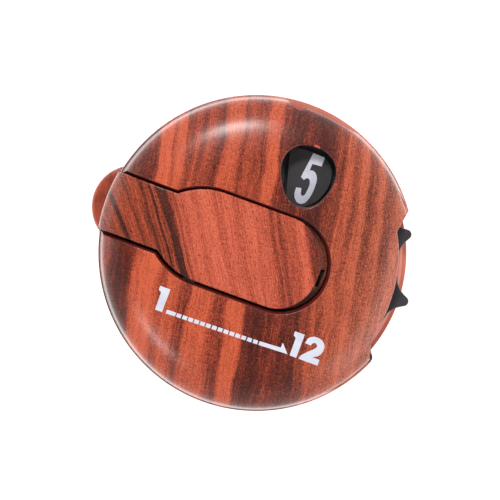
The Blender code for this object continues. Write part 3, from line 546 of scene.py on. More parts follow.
opening_y = -0.06
opening_draft = 0.23
notch_depth = 1.45
relief_depth = 0.38


def keyhole_opening(grow):
    return [(x, y + opening_y) for x, y in keyhole(button_gap + grow)]


def thumb_notch(grow):
    return rim_cut(notch_depth, notch_low_deg, notch_high_deg, 6.5, cover_radius, grow)


def prying_relief(grow):
    return rim_cut(relief_depth, 69.0, 94.6, 1.5, cover_radius, grow, low_ramp_deg=10.0)


below = seam_z - 1.0
above = cover_top_z + 1.0
cover = fitted(cover, "DIFFERENCE", [
    flared(keyhole_opening, 7.0, above, edge_round, crown, draft=opening_draft),
    flared(window, 9.35, above, window_round, crown),
    flared(thumb_notch, below, above, edge_round, crown),
    flared(prying_relief, below, above, relief_round, crown),
], mark=None)
# Radii and angles of a notch at the rim, for a blade that pries the cover off.
pry_line = (
    (13.96, 91.4), (13.8, 91.8), (13.68, 92.6), (13.64, 93.4), (13.66, 94.3), (13.75, 95.3),
    (13.95, 96.6), (14.25, 98.4), (15.0, 99.4), (15.0, 91.0),
)
pry_notch = [around(0.0, 0.0, out, turn_deg) for out, turn_deg in pry_line]
teeth_room = post(12.6, below, 9.65, sides=180)
ring_room = post(10.95, below, 10.1, sides=180)
cover = fitted(cover, "DIFFERENCE", [
    teeth_room, ring_room, prism(pry_notch, below, cover_top_z),
])
# The moulding's gate broke off at the window's edge and left a nick of bare plastic.
nick_x, nick_y = 1.75, 11.08
nick_depth = 0.2
nick = prism(bow(nick_x, nick_y, 0.32, 0.17, 0, 345, 24), crown(nick_x, nick_y) - nick_depth, above)
cover = fitted(cover, "DIFFERENCE", [nick], mark=2)


grain_deg = 11.0


def print_place(nodes, turn_deg=0.0):
    """Millimetres across the grain and along it, for a grain that leans from the window's side."""
    place = nodes.node("Mapping", {"vector_type": "POINT"}, {
        "Vector": nodes.node("TexCoord", out=3),
        "Rotation": (0.0, 0.0, math.radians(-turn_deg)),
        "Scale": (1000.0, 1000.0, 1000.0),
    })
    return [nodes.node("SeparateXYZ", {}, {0: place}, out) for out in (0, 1)]


def speckle(nodes, scale, detail):
    """Fine even noise from 0 to 1."""
    place = nodes.node("TexCoord", out=3)
    limits = {"Vector": place, "Scale": scale, "Detail": detail}
    return nodes.node("TexNoise", {}, limits)


def noise(across_grain, along_grain, layer, detail=2.0, roughness=0.5):
    """Smooth noise about nothing, from places already stretched to the size of its grains."""
    parts = {0: across_grain, 1: along_grain, 2: layer}
    place = across_grain.node("CombineXYZ", {}, parts)
    return place.node("TexNoise", {"noise_dimensions": "3D"}, {
        "Vector": place, "Scale": 1.0, "Detail": detail, "Roughness": roughness,
    }) - 0.5


def screen_dots(u, v):
    """The print's dots: an uneven screen, 0.2 mm apart, from about -1 to 1."""
    loose = noise(u * 5.2, v * 5.2, 21.0, 1.0)
    first = (u + v) * 21.0 + loose * 9.0
    second = (u - v) * 21.0 - loose * 7.0
    return u.math("SINE", first) * u.math("SINE", second) * 0.5 + loose * 1.6


print_half = 14.5


def across_print(place):
    """From 0 to 1 across the grain, from the left rim to the right one."""
    return (place + print_half) / (print_half * 2)


def streaks(place, levels):
    """The levels of the broad streaks that are listed with their places across the grain."""
    points = [(across_print(where), level) for where, level in levels]
    return place.node("FloatCurve", {"points": points}, {"Value": across_print(place)})


def wood_tone(u, v):
    """How light the printed wood is, from 0 in a dark streak to 1 in the brightest wood."""
    sway = noise(u * 0.22, v * 0.14, 0.0)
    bent = u + sway * 1.5 + noise(u * 0.9, v * 0.35, 5.0) * 0.35
    high = streaks(bent, upper_streaks)
    low = streaks(bent, lower_streaks)
    bands = low + (high - low) * fade(v + sway * 9.0, -3.0, 3.0)
    lines = noise(bent * 2.3, v * 0.09, 3.0, 3.0, 0.6)
    threads = noise(bent * 6.5, v * 0.30, 9.0, 2.0, 0.6)
    flecks = noise(bent * 5.0, v * 1.6, 15.0, 3.0, 0.7)
    patches = noise(u * 0.75, v * 0.38, 7.0, 4.0, 0.62)
    return bands + lines * 0.75 + threads * 0.6 + flecks * 0.55 + patches * 0.5


def varnish(shader, dots, coat, coat_roughness):
    """The clear coat over a print, which is a little uneven over its dots."""
    (dots * 0.05 + 0.32).into(shader, "Roughness")
    shader.inputs["Specular IOR Level"].default_value = 0.25
    shader.inputs["Coat Weight"].default_value = coat
    shader.inputs["Coat Roughness"].default_value = coat_roughness


wood_colours = (
    (0.0, (66, 27, 22)), (0.2, (97, 38, 29)), (0.4, (134, 54, 36)),
    (0.6, (168, 70, 45)), (0.8, (191, 84, 54)), (1.0, (216, 100, 66)),
)
# Places across the grain and how light they are, above the button and below it.
upper_streaks = (
    (-14.5, 0.3), (-12.4, 0.22), (-11.0, 0.28), (-10.4, 0.5), (-10.0, 0.95), (-9.2, 0.9),
    (-8.95, 0.65), (-8.6, 0.92), (-8.0, 0.75), (-7.5, 0.38), (-7.1, 0.6), (-6.6, 0.38),
    (-6.0, 0.58), (-5.3, 0.3), (-4.8, 0.55), (-4.3, 0.8), (-3.2, 0.75), (-2.9, 0.45), (-2.4, 0.6),
    (-1.6, 0.45), (-0.8, 0.55), (-0.2, 0.85), (0.4, 0.78), (0.75, 0.36), (1.4, 0.22), (2.0, 0.08),
    (2.9, 0.24), (4.0, 0.06), (5.2, 0.15), (5.9, 0.4), (6.3, 0.34), (6.8, 0.7), (7.3, 0.7),
    (7.9, 0.46), (8.4, 0.76), (8.9, 0.74), (9.35, 0.36), (9.9, 0.42), (10.3, 0.68), (10.8, 0.42),
    (11.4, 0.38), (12.0, 0.64), (14.5, 0.64),
)
lower_streaks = (
    (-14.5, 0.5), (-13.4, 0.35), (-12.9, 0.12), (-11.7, 0.08), (-11.2, 0.3), (-10.8, 0.75),
    (-9.6, 0.92), (-8.6, 0.85), (-8.2, 0.55), (-7.6, 0.75), (-6.8, 0.7), (-6.1, 0.4), (-5.5, 0.72),
    (-4.2, 0.78), (-3.3, 0.62), (-2.7, 0.4), (-2.1, 0.5), (-1.7, 0.86), (-0.9, 0.84), (-0.3, 0.32),
    (0.3, 0.18), (1.0, 0.1), (2.0, 0.28), (3.0, 0.26), (3.7, 0.14), (4.7, 0.16), (5.3, 0.36),
    (5.6, 0.34), (6.2, 0.64), (6.8, 0.48), (7.4, 0.7), (7.9, 0.52), (8.3, 0.6), (8.8, 0.78),
    (9.4, 0.5), (9.9, 0.52), (10.3, 0.72), (10.9, 0.5), (11.5, 0.48), (12.1, 0.68), (14.5, 0.7),
)

wood, nodes, shader = new_finish("wood_print")
u, v = print_place(nodes, grain_deg)
tone = wood_tone(u, v)
dots = screen_dots(u, v)
# Towards the right rim the print is paler and browner, a painted sheen in place of the soft lamp's
# veil on that side, and it is more russet at the left one.
brown = ramp(tone + dots * 0.8, ((0.2, (116, 62, 48)), (0.9, (200, 122, 94))))
russet = ramp(tone + dots * 0.5, ((0.0, (64, 18, 8)), (0.5, (140, 50, 28)), (1.0, (206, 88, 54))))
colour = mixed(fade(u, 2.0, 13.0, 0.0, 0.45), ramp(tone + dots * 0.5, wood_colours), brown)
colour = mixed(fade(u, -9.5, -12.0, 0.0, 0.75), colour, russet)
colour.into(shader, "Base Color")
varnish(shader, dots, 0.36, 0.2)

# Cut walls and insides show the bare moulding in a darker red than the nick of the same plastic:
# painted shade.
bare, nodes, shader = new_finish("cut_wood_print_edges_painted_shade", 0.45)
two_tone(shader, speckle(nodes, 2600.0, 3.0), (92, 28, 22), (124, 40, 31))

nicked, nodes, shader = new_finish("bare_nick", 0.5)
u, v = print_place(nodes)
two_tone(shader, noise(u * 3.0, v * 3.0, 17.0) + 0.5, (206, 88, 64), (232, 118, 92))
settle("front_cover_shell", cover, "case", [wood, bare, nicked], ["front_cover"])


# ------------ printed marks on the cover
# Pale ink, pad-printed on the dome below the button: a 1, a row of dashes that ends in an arrow
# and a 12, which show that the dial counts from 1 to 12.
ink_thickness = 0.02
least_mitre = 0.45
width_of_one = 0.52


def band(points, width):
    """The outline of a stroke of even width along a line, with its corners mitred."""
    left, right = [], []
    for place, point in enumerate(points):
        before = points[max(place - 1, 0)]
        after = points[min(place + 1, len(points) - 1)]
        first = Vector((point[0] - before[0], point[1] - before[1]))
        second = Vector((after[0] - point[0], after[1] - point[1]))
        first = first.normalized() if first.length else second.normalized()
        second = second.normalized() if second.length else first
        across_first = Vector((-first.y, first.x))
        mitre = (across_first + Vector((-second.y, second.x))).normalized()
        reach = width / 2 / max(least_mitre, mitre.dot(across_first))
        left.append((point[0] + mitre.x * reach, point[1] + mitre.y * reach))
        right.append((point[0] - mitre.x * reach, point[1] - mitre.y * reach))
    return left + list(reversed(right))


# Each figure's strokes run through the middle of its lines, in a box 1 wide and 2.1 high.
box_height = 2.1
figures = {
    "0": [
        bow(0.5, 1.35, 0.5, 0.75, 0, 180) + bow(0.5, 0.75, 0.5, 0.75, 180, 360),
        [(1.0, 0.7), (1.0, 1.4)],
    ],
    "3": [bow(0.45, 1.6, 0.45, 0.5, 160, -80) + bow(0.45, 0.55, 0.53, 0.55, 80, -160)],
    "4": [[(0.0, 0.55), (1.12, 0.55)], [(0.05, 0.45), (0.72, 2.1)], [(0.72, 2.3), (0.72, -0.2)]],
    "6": [
        [(0.88, 1.8)] + bow(0.5, 1.35, 0.5, 0.75, 60, 180) + [(0.0, 0.7)],
        bow(0.5, 0.62, 0.5, 0.62, 170, 350, 20), bow(0.5, 0.62, 0.5, 0.62, -20, 190, 20),
    ],
    "7": [[(-0.1, 2.1), (1.0, 2.1), (0.95, 1.8), (0.4, -0.1)]],
    "8": [
        bow(0.5, 1.6, 0.44, 0.5, -90, 100, 16), bow(0.5, 1.6, 0.44, 0.5, 80, 270, 16),
        bow(0.5, 0.56, 0.52, 0.56, 90, 280, 16), bow(0.5, 0.56, 0.52, 0.56, -100, 90, 16),
    ],
    "9": [
        [(0.12, 0.3)] + bow(0.5, 0.75, 0.5, 0.75, 240, 360) + [(1.0, 1.4)],
        bow(0.5, 1.48, 0.5, 0.62, -10, 170, 20), bow(0.5, 1.48, 0.5, 0.62, 160, 370, 20),
    ],
}
# A 1, a 2 and a 5 about their middles, with the width and height that they are drawn at.
drawn = {
    "1": (1.0, 2.21, (
        (-0.49, 1.1), (-0.47, 0.71), (-0.2, 0.57), (-0.18, -1.1), (0.49, -1.1), (0.51, 1.11),
    )),
    "2": (1.86, 2.4, (
        (-0.89, 0.36), (-0.32, 0.33), (-0.21, 0.59), (0.0, 0.68), (0.22, 0.56), (0.27, 0.38),
        (0.08, 0.11), (-0.37, -0.3), (-0.84, -0.79), (-0.93, -1.03), (-0.93, -1.19), (0.92, -1.2),
        (0.9, -0.64), (0.21, -0.63), (0.66, -0.37), (0.86, -0.08), (0.93, 0.2), (0.93, 0.62),
        (0.74, 0.95), (0.55, 1.09), (0.29, 1.19), (-0.05, 1.22), (-0.31, 1.2), (-0.6, 1.03),
        (-0.79, 0.84),
    )),
    "5": (1.62, 4.75, (
        (-0.35, 2.39), (-0.69, -0.03), (-0.33, -0.2), (-0.22, -0.02), (-0.06, 0.09), (0.12, 0.02),
        (0.25, -0.17), (0.31, -0.42), (0.3, -0.85), (0.23, -1.35), (0.13, -1.55), (0.03, -1.6),
        (-0.1, -1.56), (-0.2, -1.4), (-0.24, -1.2), (-0.3, -0.97), (-0.78, -1.07), (-0.74, -1.65),
        (-0.58, -2.02), (-0.35, -2.26), (-0.1, -2.36), (0.16, -2.34), (0.4, -2.2), (0.57, -1.98),
        (0.72, -1.56), (0.81, -1.1), (0.84, -0.6), (0.83, -0.1), (0.77, 0.3), (0.63, 0.58),
        (0.42, 0.8), (0.2, 0.88), (0.02, 0.86), (-0.13, 0.8), (-0.1, 1.44), (0.79, 1.51),
        (0.79, 2.37),
    )),
}


def figure(text, wide, high, stroke=0.47, gap=0.12, lean=0.0, stretch=1.0):
    """Closed outlines of a number about its middle.

    Stretch makes upright strokes thinner than level ones."""
    widths = [wide * width_of_one if letter == "1" else wide for letter in text]
    start = -(sum(widths) + (len(text) - 1) * gap) / 2
    outlines = []
    for letter, size in zip(text, widths):
        if letter in drawn:
            own_wide, own_high, points = drawn[letter]
            middle = start + size / 2
            outlines.append([
                (x * size / own_wide + middle, y * high / own_high) for x, y in points
            ])
        else:
            flat = high / stretch
            for line in figures[letter]:
                edge = stroke / 2
                points = [
                    (edge + x * (size - stroke), edge + y / box_height * (flat - stroke))
                    for x, y in line
                ]
                made = [
                    (min(max(x, 0.0), size), min(max(y, 0.0), flat) - flat / 2)
                    for x, y in band(points, stroke)
                ]
                outlines.append([(x + start + y * lean, y * stretch) for x, y in made])
        start += size + gap
    return outlines


def printed(outlines, surface, grid):
    """Ink of an even thickness on a curved surface, from flat outlines."""
    parts = [prism(outline, 0.0, 1.0) for outline in outlines]
    shape = fitted(parts[0], "UNION", parts[1:], mark=0)
    low = [min(point.co[axis] for point in shape.verts) for axis in (0, 1)]
    high = [max(point.co[axis] for point in shape.verts) for axis in (0, 1)]
    for axis in (0, 1):
        for step in range(1, int((high[axis] - low[axis]) / grid) + 1):
            where = [0.0, 0.0, 0.0]
            where[axis] = low[axis] + step * grid
            way = [0.0, 0.0, 0.0]
            way[axis] = 1.0
            parts = shape.verts[:] + shape.edges[:] + shape.faces[:]
            bmesh.ops.bisect_plane(shape, geom=parts, plane_co=where, plane_no=way)
    for point in shape.verts:
        side = 1.0 if point.co.z > 0.5 else -1.0
        point.co.z = surface(point.co.x, point.co.y) + ink_thickness * side
    bmesh.ops.recalc_face_normals(shape, faces=shape.faces)
    return shape


def moved(outlines, x, y, turn_deg=0.0):
    """Outlines turned about nothing and then put at a place."""
    turn = Matrix.Rotation(math.radians(turn_deg), 2)
    place = Vector((x, y))
    return [[tuple(turn @ Vector(point) + place) for point in outline] for outline in outlines]


marks = moved(figure("1", 1.92, 2.21), -6.82, -6.85)
marks += moved(figure("1", 1.84, 2.26), 6.12, -6.58)
marks += moved(figure("2", 1.86, 2.4), 7.77, -6.52)
# One long dash and a row of short ones, which rise a little towards the arrow.
dash_slope = 0.02
dash_height = 0.36
dashes = [(-5.98, 0.89)] + [(-4.99 + 0.566 * step, 0.44) for step in range(14)]
for x, wide in dashes:
    left = -7.93 + (x + 5.5) * dash_slope
    right = left + wide * dash_slope
    marks.append([
        (x, left), (x + wide, right), (x + wide, right + dash_height), (x, left + dash_height),
    ])
marks.append([(2.94, -7.76), (5.74, -7.66), (4.97, -6.81), (4.95, -7.3), (2.94, -7.4)])
marks = moved(marks, -0.08, 0.04)

ink, nodes, shader = new_finish("white_print", 0.5)
two_tone(shader, speckle(nodes, 900.0, 4.0), (208, 212, 228), (226, 230, 243))
settle("cover_marks", printed(marks, crown, 0.4), "case", [ink])


# ------------ rear housing
# The pinkish salmon ABS cup under the cover. It shows as a thin line round the cover, as a step
# at the thumb notch and all over the back, and it holds the lugs, bosses and the stop block.
housing_radius = 14.45
back_z = 3.0
floor_z = 4.1
flat_radius = 11.2
cup_rim_z = 6.5
hinge_x = -12.2
hinge_z = 9.2
clip_pivot_x = -8.5
clip_pivot_z = 2.15


def cup(radius, flat, bottom_z, count=14):
    """Points down the rounded lower corner of the housing."""
    return bow(flat, cup_rim_z, radius - flat, bottom_z - cup_rim_z, 0.0, 90.0, count)


# Up inside the cup, round the lip that snaps into the cover, and down outside.
cup_inside = list(reversed(cup(housing_radius - wall, flat_radius - wall / 2, floor_z)))
lip = [
    (12.75, 7.2), (12.75, 8.8), (13.05, 8.8), (13.05, 8.6), (13.33, 8.4), (13.05, 8.2),
    (13.05, 8.0),
]
rim = [
    (housing_radius - 0.06, seam_z), (housing_radius - 0.02, seam_z - 0.02),
    (housing_radius, seam_z - 0.06),
]
cup_outside = cup(housing_radius, flat_radius, back_z)
housing = turned([(0.0, floor_z)] + cup_inside + lip + rim + cup_outside + [(0.0, back_z)])
screw_places = ((-10.6, -6.0), (-10.6, 6.0))
button_end = hinge_x + 0.9
lip_top_z = 9.8
button_room = [(-16.0, -3.3), (button_end, -3.3), (button_end, 3.3), (-16.0, 3.3)]
housing = fitted(housing, "DIFFERENCE", [prism(button_room, seam_z, lip_top_z)])
# The stop block stands just past the place that the dial's peg reaches with the last number.
peg_deg = 335.0
last_turn_deg = 210.0
stop_past_deg = 15.0
stop_turn = math.radians(peg_deg + last_turn_deg + stop_past_deg)
stop_outline = [(
    dial_x + x * math.cos(stop_turn) - y * math.sin(stop_turn),
    x * math.sin(stop_turn) + y * math.cos(stop_turn),
) for x, y in ((8.6, -1.7), (9.5, -1.7), (9.5, 1.7), (8.6, 1.7))]
anchor = around(dial_x, 0.0, 7.6, 60.0)
boss_z = floor_z - 0.3
hinge_foot = [(hinge_x - 0.8, floor_z), (hinge_x + 0.8, floor_z)]
lug_top = [(clip_pivot_x + 0.7, back_z + 0.3), (clip_pivot_x - 0.7, back_z + 0.3)]
hub_boss = post(2.82, boss_z, 5.55)
stop = prism(stop_outline, boss_z, 8.15)
anchor_boss = post(0.9, boss_z, 6.68, anchor)
hinge_lug = upright_prism(arc(hinge_x, hinge_z, 0.8, 0.0, 180.0, 16) + hinge_foot, -1.2, 1.2)
clip_lugs = lugs(arc(clip_pivot_x, clip_pivot_z, 0.7, 180.0, 360.0, 16) + lug_top, 1.5, 2.1)
screw_bosses = [post(1.5, boss_z, 7.2, place) for place in screw_places]
bosses = [hub_boss, stop, anchor_boss, hinge_lug] + clip_lugs + screw_bosses
housing = fitted(housing, "UNION", bosses, mark=0)
outer_z = back_z - 1.0
notch = prism(
    rim_cut(0.75, notch_low_deg, notch_high_deg, 3.25, housing_radius), outer_z, lip_top_z
)
post_hole = post(1.86, floor_z, 6.5)
screw_heads = [post(1.1, outer_z, back_z + 1.5, place) for place in screw_places]
screw_holes = [post(0.56, outer_z, 9.0, place) for place in screw_places]
holes = [notch, post_hole] + screw_heads + screw_holes
housing = fitted(housing, "DIFFERENCE", holes, mark=0)


def grainy(nodes, shader, strength, grit):
    """Makes a moulding's face a little rough, by heights of a fiftieth of a millimetre."""
    limits = {"Strength": strength, "Distance": 0.00002, "Height": grit}
    nodes.node("Bump", {}, limits).into(shader, "Normal")


# The line round the cover is darker at the left and the housing paler towards the right: painted
# shade at the left rim and painted light on the right side, which faces away from the lamps. The
# line is also paler beside the prying relief and duller below the middle.
salmon, nodes, shader = new_finish("salmon_plastic", 0.36)
u, v = print_place(nodes, grain_deg)
# Painted shade at the left and painted light at the right, across the grain.
painted_light_and_shade = fade(u, -12.0, 8.0, -0.35, 0.55, "LINEAR")
relieved = fade(v, 9.5, 12.5, 0.0, 0.3) * fade(u, -0.8, 0.6, kind="LINEAR")
duller = fade(v, -2.5, -6.0, 0.0, -0.3)
cloud = noise(u * 0.5, v * 0.5, 31.0, 4.0, 0.6)
tone = wood_tone(u, v) * 0.6 + painted_light_and_shade + relieved + duller + cloud * 0.4 + screen_dots(u, v) * 0.1
ramp(tone, (
    (0.0, (112, 54, 46)), (0.3, (160, 80, 66)), (0.5, (204, 112, 92)), (1.0, (228, 138, 118)),
)).into(shader, "Base Color")
grainy(nodes, shader, 0.15, noise(u * 9.0, v * 9.0, 13.0))
settle("rear_housing_shell", housing, "case", [salmon], ["rear_housing"])


# ------------ reset button
# A keyhole-shaped rocker of ABS with its own lighter print. It hangs on a pin at the left rim,
# follows the cover's dome a little lower, and steps down at its tip round a catch slot.
button_radius = 14.65
button_top_z = 12.0
button_wall = 1.0
button_foot_z = 8.35


def button_crown(x, y):
    return crown(x, y, button_radius, button_top_z)


def keyhole_plug(grow):
    return keyhole(grow, -button_radius, 0.6)


under_radius, under_top_z = button_radius - button_wall, button_top_z - button_wall
button = turned(
    dome(button_radius, button_top_z)
    + [(button_radius, button_foot_z), (under_radius, button_foot_z)]
    + list(reversed(dome(under_radius, under_top_z, 14)))
)
button = fitted(button, "INTERSECT", [
    flared(keyhole_plug, seam_z, 13.4, edge_round, button_crown, inward=True),
], mark=None)
ear_top = [(x, crown(x, 0.0, under_radius, under_top_z) + 0.3) for x in (-13.1, -11.3)]
ear = ear_top + arc(hinge_x, hinge_z, 0.9, 0.0, -180.0, 16)
button = fitted(button, "UNION", lugs(ear, 1.5, 2.3))
tip_x = 1.7
tip_radius = 4.1
ledge_line = (
    (0.0, 11.62), (1.4, 11.0), (1.4, 13.0), (0.1, 13.0), (0.1, 11.98), (0.05, 11.95),
    (0.015, 11.9), (0.0, 11.83),
)
ledge = turned(
    [(tip_radius + out, z) for out, z in ledge_line],
    x=tip_x, steps=80, start_deg=-90.0, sweep_deg=180.0,
)
# The ledge's edge is a little skewed and as wide as the button's head.
stretch = Matrix.Identity(4)
stretch[0][1] = -0.05
stretch[1][1] = head_half / tip_radius
about_tip = Matrix.Translation((tip_x, 0.0, 0.0))
stretch = about_tip @ stretch @ about_tip.inverted()
bmesh.ops.transform(ledge, verts=ledge.verts, matrix=stretch)
button = fitted(button, "DIFFERENCE", [ledge], mark=2)
catch_slot = [(5.85, -0.92), (6.2, -0.92), (6.28, 0.72), (5.93, 0.72)]
button = fitted(button, "DIFFERENCE", [prism(catch_slot, 11.05, 13.0)], mark=3)
pin_hole = pin(0.56, (hinge_x, -neck_half, hinge_z), (hinge_x, neck_half, hinge_z))
button = fitted(button, "DIFFERENCE", [pin_hole])

button_streaks = (
    (-14.5, 0.4), (-13.2, 0.38), (-12.75, 0.52), (-12.35, 0.08), (-12.1, 0.04), (-11.85, 0.46),
    (-10.9, 0.52), (-10.5, 0.34), (-10.1, 0.52), (-9.6, 0.46), (-9.3, 0.12), (-9.1, 0.5),
    (-8.75, 0.46), (-8.55, 0.02), (-8.3, 0.5), (-8.05, 0.42), (-7.8, 0.12), (-7.55, 0.0),
    (-7.3, 0.06), (-7.1, 0.52), (-6.9, 0.6), (-6.75, 0.34), (-6.55, 0.7), (-6.2, 0.6), (-5.6, 0.78),
    (-4.9, 0.62), (-4.4, 0.78), (-3.4, 0.74), (-2.9, 0.6), (-2.3, 0.76), (-1.2, 0.6), (-0.6, 0.74),
    (0.6, 0.68), (1.5, 0.6), (1.9, 0.36), (2.2, 0.56), (2.55, 0.34), (2.9, 0.58), (3.6, 0.55),
    (4.2, 0.76), (4.6, 0.72), (4.95, 0.36), (5.6, 0.26), (14.5, 0.4),
)
button_wood, nodes, shader = new_finish("wood_print_button")
u, v = print_place(nodes, grain_deg)
# The button's grain fans out from its neck. The lean depends on the fan itself, so it is found
# in three rounds.
fan = u
for _ in range(3):
    fan = u + v * (0.32 - fan * 0.012 + fan * fan * 0.0008)
bent = fan + noise(fan * 0.35, v * 0.16, 40.0) * 0.9
lines = noise(bent * 2.6, v * 0.08, 43.0, 3.0, 0.6)
threads = noise(bent * 7.0, v * 0.32, 49.0, 2.0, 0.6)
pores = fade(noise(bent * 8.5, v * 1.7, 53.0, 2.0, 0.6), 0.08, 0.24)
neck = fade(fan, -6.5, -8.0)
tone = streaks(bent, button_streaks) + lines * (neck * 0.15 + 0.5) + threads * (neck * 0.4 + 0.6)
tone = tone - pores * 0.5
dots = screen_dots(u, v)
pink = ramp(tone + dots * 0.38, (
    (0.0, (64, 34, 32)), (0.2, (102, 44, 34)), (0.45, (158, 66, 46)), (0.7, (200, 92, 66)),
    (1.0, (228, 116, 88)),
))
brown = ramp(tone + dots * 0.5, (
    (0.0, (52, 26, 20)), (0.3, (112, 46, 28)), (0.6, (164, 68, 40)), (1.0, (196, 92, 58)),
))
mixed(fade(fan, -6.2, -9.0, 0.0, 0.75), pink, brown).into(shader, "Base Color")
varnish(shader, dots, 0.3, 0.22)

ledge_print, nodes, shader = new_finish("button_ledge_print", 0.4)
u, v = print_place(nodes, grain_deg)
worn = noise(u * 4.0, v * 4.0, 61.0, 3.0, 0.7)
ramp(worn * 1.2 + 0.42 + fade(v * v, 0.5, 9.0, 0.32, 0.0), (
    (0.3, (62, 34, 32)), (0.55, (88, 46, 38)), (0.8, (136, 70, 50)), (1.0, (168, 104, 78)),
)).into(shader, "Base Color")


def sooty(name, layer, dark, light):
    """A dull dark finish for the bottom of a recess: painted shade."""
    made, nodes, shader = new_finish(name, 0.6)
    u, v = print_place(nodes)
    two_tone(shader, noise(u * 2.0, v * 2.0, layer) + 0.5, dark, light)
    return made


# The catch slot's bottom is painted near black: a painted shadow.
shadow = sooty("painted_shadow_black", 71.0, (12, 10, 10), (20, 17, 17))
settle(
    "reset_button_shell", button, "button",
    [button_wood, bare, ledge_print, shadow], ["reset_button"],
)


# ------------ number dial
# Black acetal, moulded in one piece: twelve thumb teeth on a thin flange and a raised ring that
# carries the numbers 1 to 12 in pale ink. A hexagonal hole drives it from the ratchet's sleeve.
tooth_tip = 12.25
tooth_root = 10.75
tooth_width = 2.95
flange_low = 8.45
flange_top = 9.35
ring_inner = 5.0
ring_outer = 10.65
ring_inner_z = 10.3
ring_outer_z = 9.8
numbers_on_dial = 12
number_deg = 30.0
tooth_turn_deg = 2.3
nose_radius = 0.46
nose_half_deg = 68.0
flank_rise = 1.5
flank_shares = (
    (0.0, 1.0), (0.08, 0.87), (0.2, 0.72), (0.3, 0.61), (0.4, 0.53), (0.55, 0.43), (0.66, 0.37),
)


def toothed():
    """The dial's rim: its root circle between hollow-sided, round-nosed teeth."""
    flank = [
        (tooth_root + flank_rise * rise, tooth_width / 2 * half) for rise, half in flank_shares
    ]
    nose = arc(tooth_tip - nose_radius, 0.0, nose_radius, -nose_half_deg, nose_half_deg, 12)
    tooth = [(along, -over) for along, over in flank] + nose + list(reversed(flank))
    tooth.append(around(0.0, 0.0, tooth_root, number_deg / 2))
    outline = []
    for number in range(numbers_on_dial):
        middle = math.radians(tooth_turn_deg + number_deg * number)
        for along, over in tooth:
            outline.append((
                dial_x + along * math.cos(middle) - over * math.sin(middle),
                along * math.sin(middle) + over * math.cos(middle),
            ))
    return outline


dial = prism(toothed(), flange_low, flange_top)
rounded(dial, 0.09, 3)
inside_z = flange_low + 0.3
number_ring = turned([
    (0.0, ring_inner_z), (ring_inner - 0.3, ring_inner_z),
    (ring_outer - 0.25, ring_outer_z + 0.021), (ring_outer - 0.1, ring_outer_z + 0.009),
    (ring_outer - 0.03, ring_outer_z - 0.03), (ring_outer, ring_outer_z - 0.1),
    (ring_outer, inside_z), (0.0, inside_z),
], x=dial_x)
peg = post(0.5, flange_low - 0.9, inside_z, around(dial_x, 0.0, 9.05, peg_deg))
dial = fitted(dial, "UNION", [number_ring, peg], mark=0)
# Each number stands on its own pad. The valley beside it is narrow, and rounds the pad's corners
# on one side.
valley_line = (
    (4.5, 29.0), (5.3, 28.0), (5.55, 25.6), (5.9, 21.6), (6.3, 18.9), (6.7, 17.4), (7.3, 16.4),
    (7.9, 16.1), (8.5, 16.6), (9.1, 17.9), (9.6, 19.4), (10.0, 21.6), (10.23, 23.9), (10.4, 28.0),
    (10.5, 34.0), (10.56, 39.0), (11.3, 39.0), (11.3, 27.0), (11.3, 14.0), (4.5, 14.0),
)
valley_low = 9.42
pad_turn_deg = 1.4
valleys = []
for pad in range(numbers_on_dial):
    valleys.append(prism([
        around(dial_x, 0.0, out, turn_deg + pad_turn_deg + number_deg * pad)
        for out, turn_deg in valley_line
    ], valley_low, 11.0))
hollow = post(ring_inner, 9.05, 11.3, sides=120)
hexagon = post(2.82, flange_low - 1.0, 10.0, sides=6)
dial = fitted(dial, "DIFFERENCE", [hollow, hexagon], mark=0)
dial = fitted(dial, "DIFFERENCE", valleys)

black, nodes, shader = new_finish("black_plastic", 0.45)
two_tone(shader, speckle(nodes, 600.0, 4.0), (50, 48, 50), (62, 60, 63))
grainy(nodes, shader, 0.2, speckle(nodes, 7000.0, 3.0))
# The valleys between the pads get a darker, bluish black: painted shade.
recess = sooty("black_plastic_painted_recess_shade", 77.0, (44, 44, 56), (54, 54, 68))
settle("number_dial_moulding", dial, "dial", [black, recess], ["number_dial"])


def ring_face(x, y):
    """The height of the ring that carries the numbers."""
    out = math.hypot(x - dial_x, y) - ring_inner + 0.3
    fall = ring_inner_z - ring_outer_z
    return ring_inner_z - fall * out / (ring_outer - ring_inner + 0.3)


shown_number = 5
shown_deg = 91.0
number_radius = 7.99
numbers = []
for count in range(1, numbers_on_dial + 1):
    turn_deg = -(count - shown_number) * number_deg
    middle = around(dial_x, 0.0, number_radius, shown_deg + turn_deg + 0.9)
    size = (1.15, 4.1) if count > 9 else (1.6, 4.75)
    numbers += moved(figure(str(count), *size, lean=0.12, stretch=1.7), *middle, turn_deg)
settle("dial_numbers", printed(numbers, ring_face, 0.6), "dial", [ink])


# ------------ back clip
# A plain strip of wood-printed ABS behind the housing, with a thumb tab at the left rim. It
# pivots on a steel pin between two lugs and its lip closes on the edge of a glove or pocket.
clip_thickness = 1.3
clip_half = 3.8
tab_end = -15.67
jaw_end = 8.7
clip = prism(
    arc(tab_end + clip_half, 0.0, clip_half, 90.0, 270.0, 40)
    + arc(jaw_end - clip_half, 0.0, clip_half, -90.0, 90.0, 40),
    0.0, clip_thickness,
)
rounded(clip, 0.35, 5)
foot_z = clip_thickness - 0.3
lug_foot = [(clip_pivot_x - 0.7, foot_z), (clip_pivot_x + 0.7, foot_z)]
clip_lugs = lugs(arc(clip_pivot_x, clip_pivot_z, 0.7, 0.0, 180.0, 16) + lug_foot, 2.3, 3.0)
jaw_lip = upright_prism([(6.2, 1.0), (7.8, 1.0), (7.4, 2.7), (7.0, 2.7)], -2.5, 2.5)
clip = fitted(clip, "UNION", clip_lugs + [jaw_lip])
pin_hole = pin(
    0.41, (clip_pivot_x, -clip_half, clip_pivot_z), (clip_pivot_x, clip_half, clip_pivot_z)
)
clip = fitted(clip, "DIFFERENCE", [pin_hole])

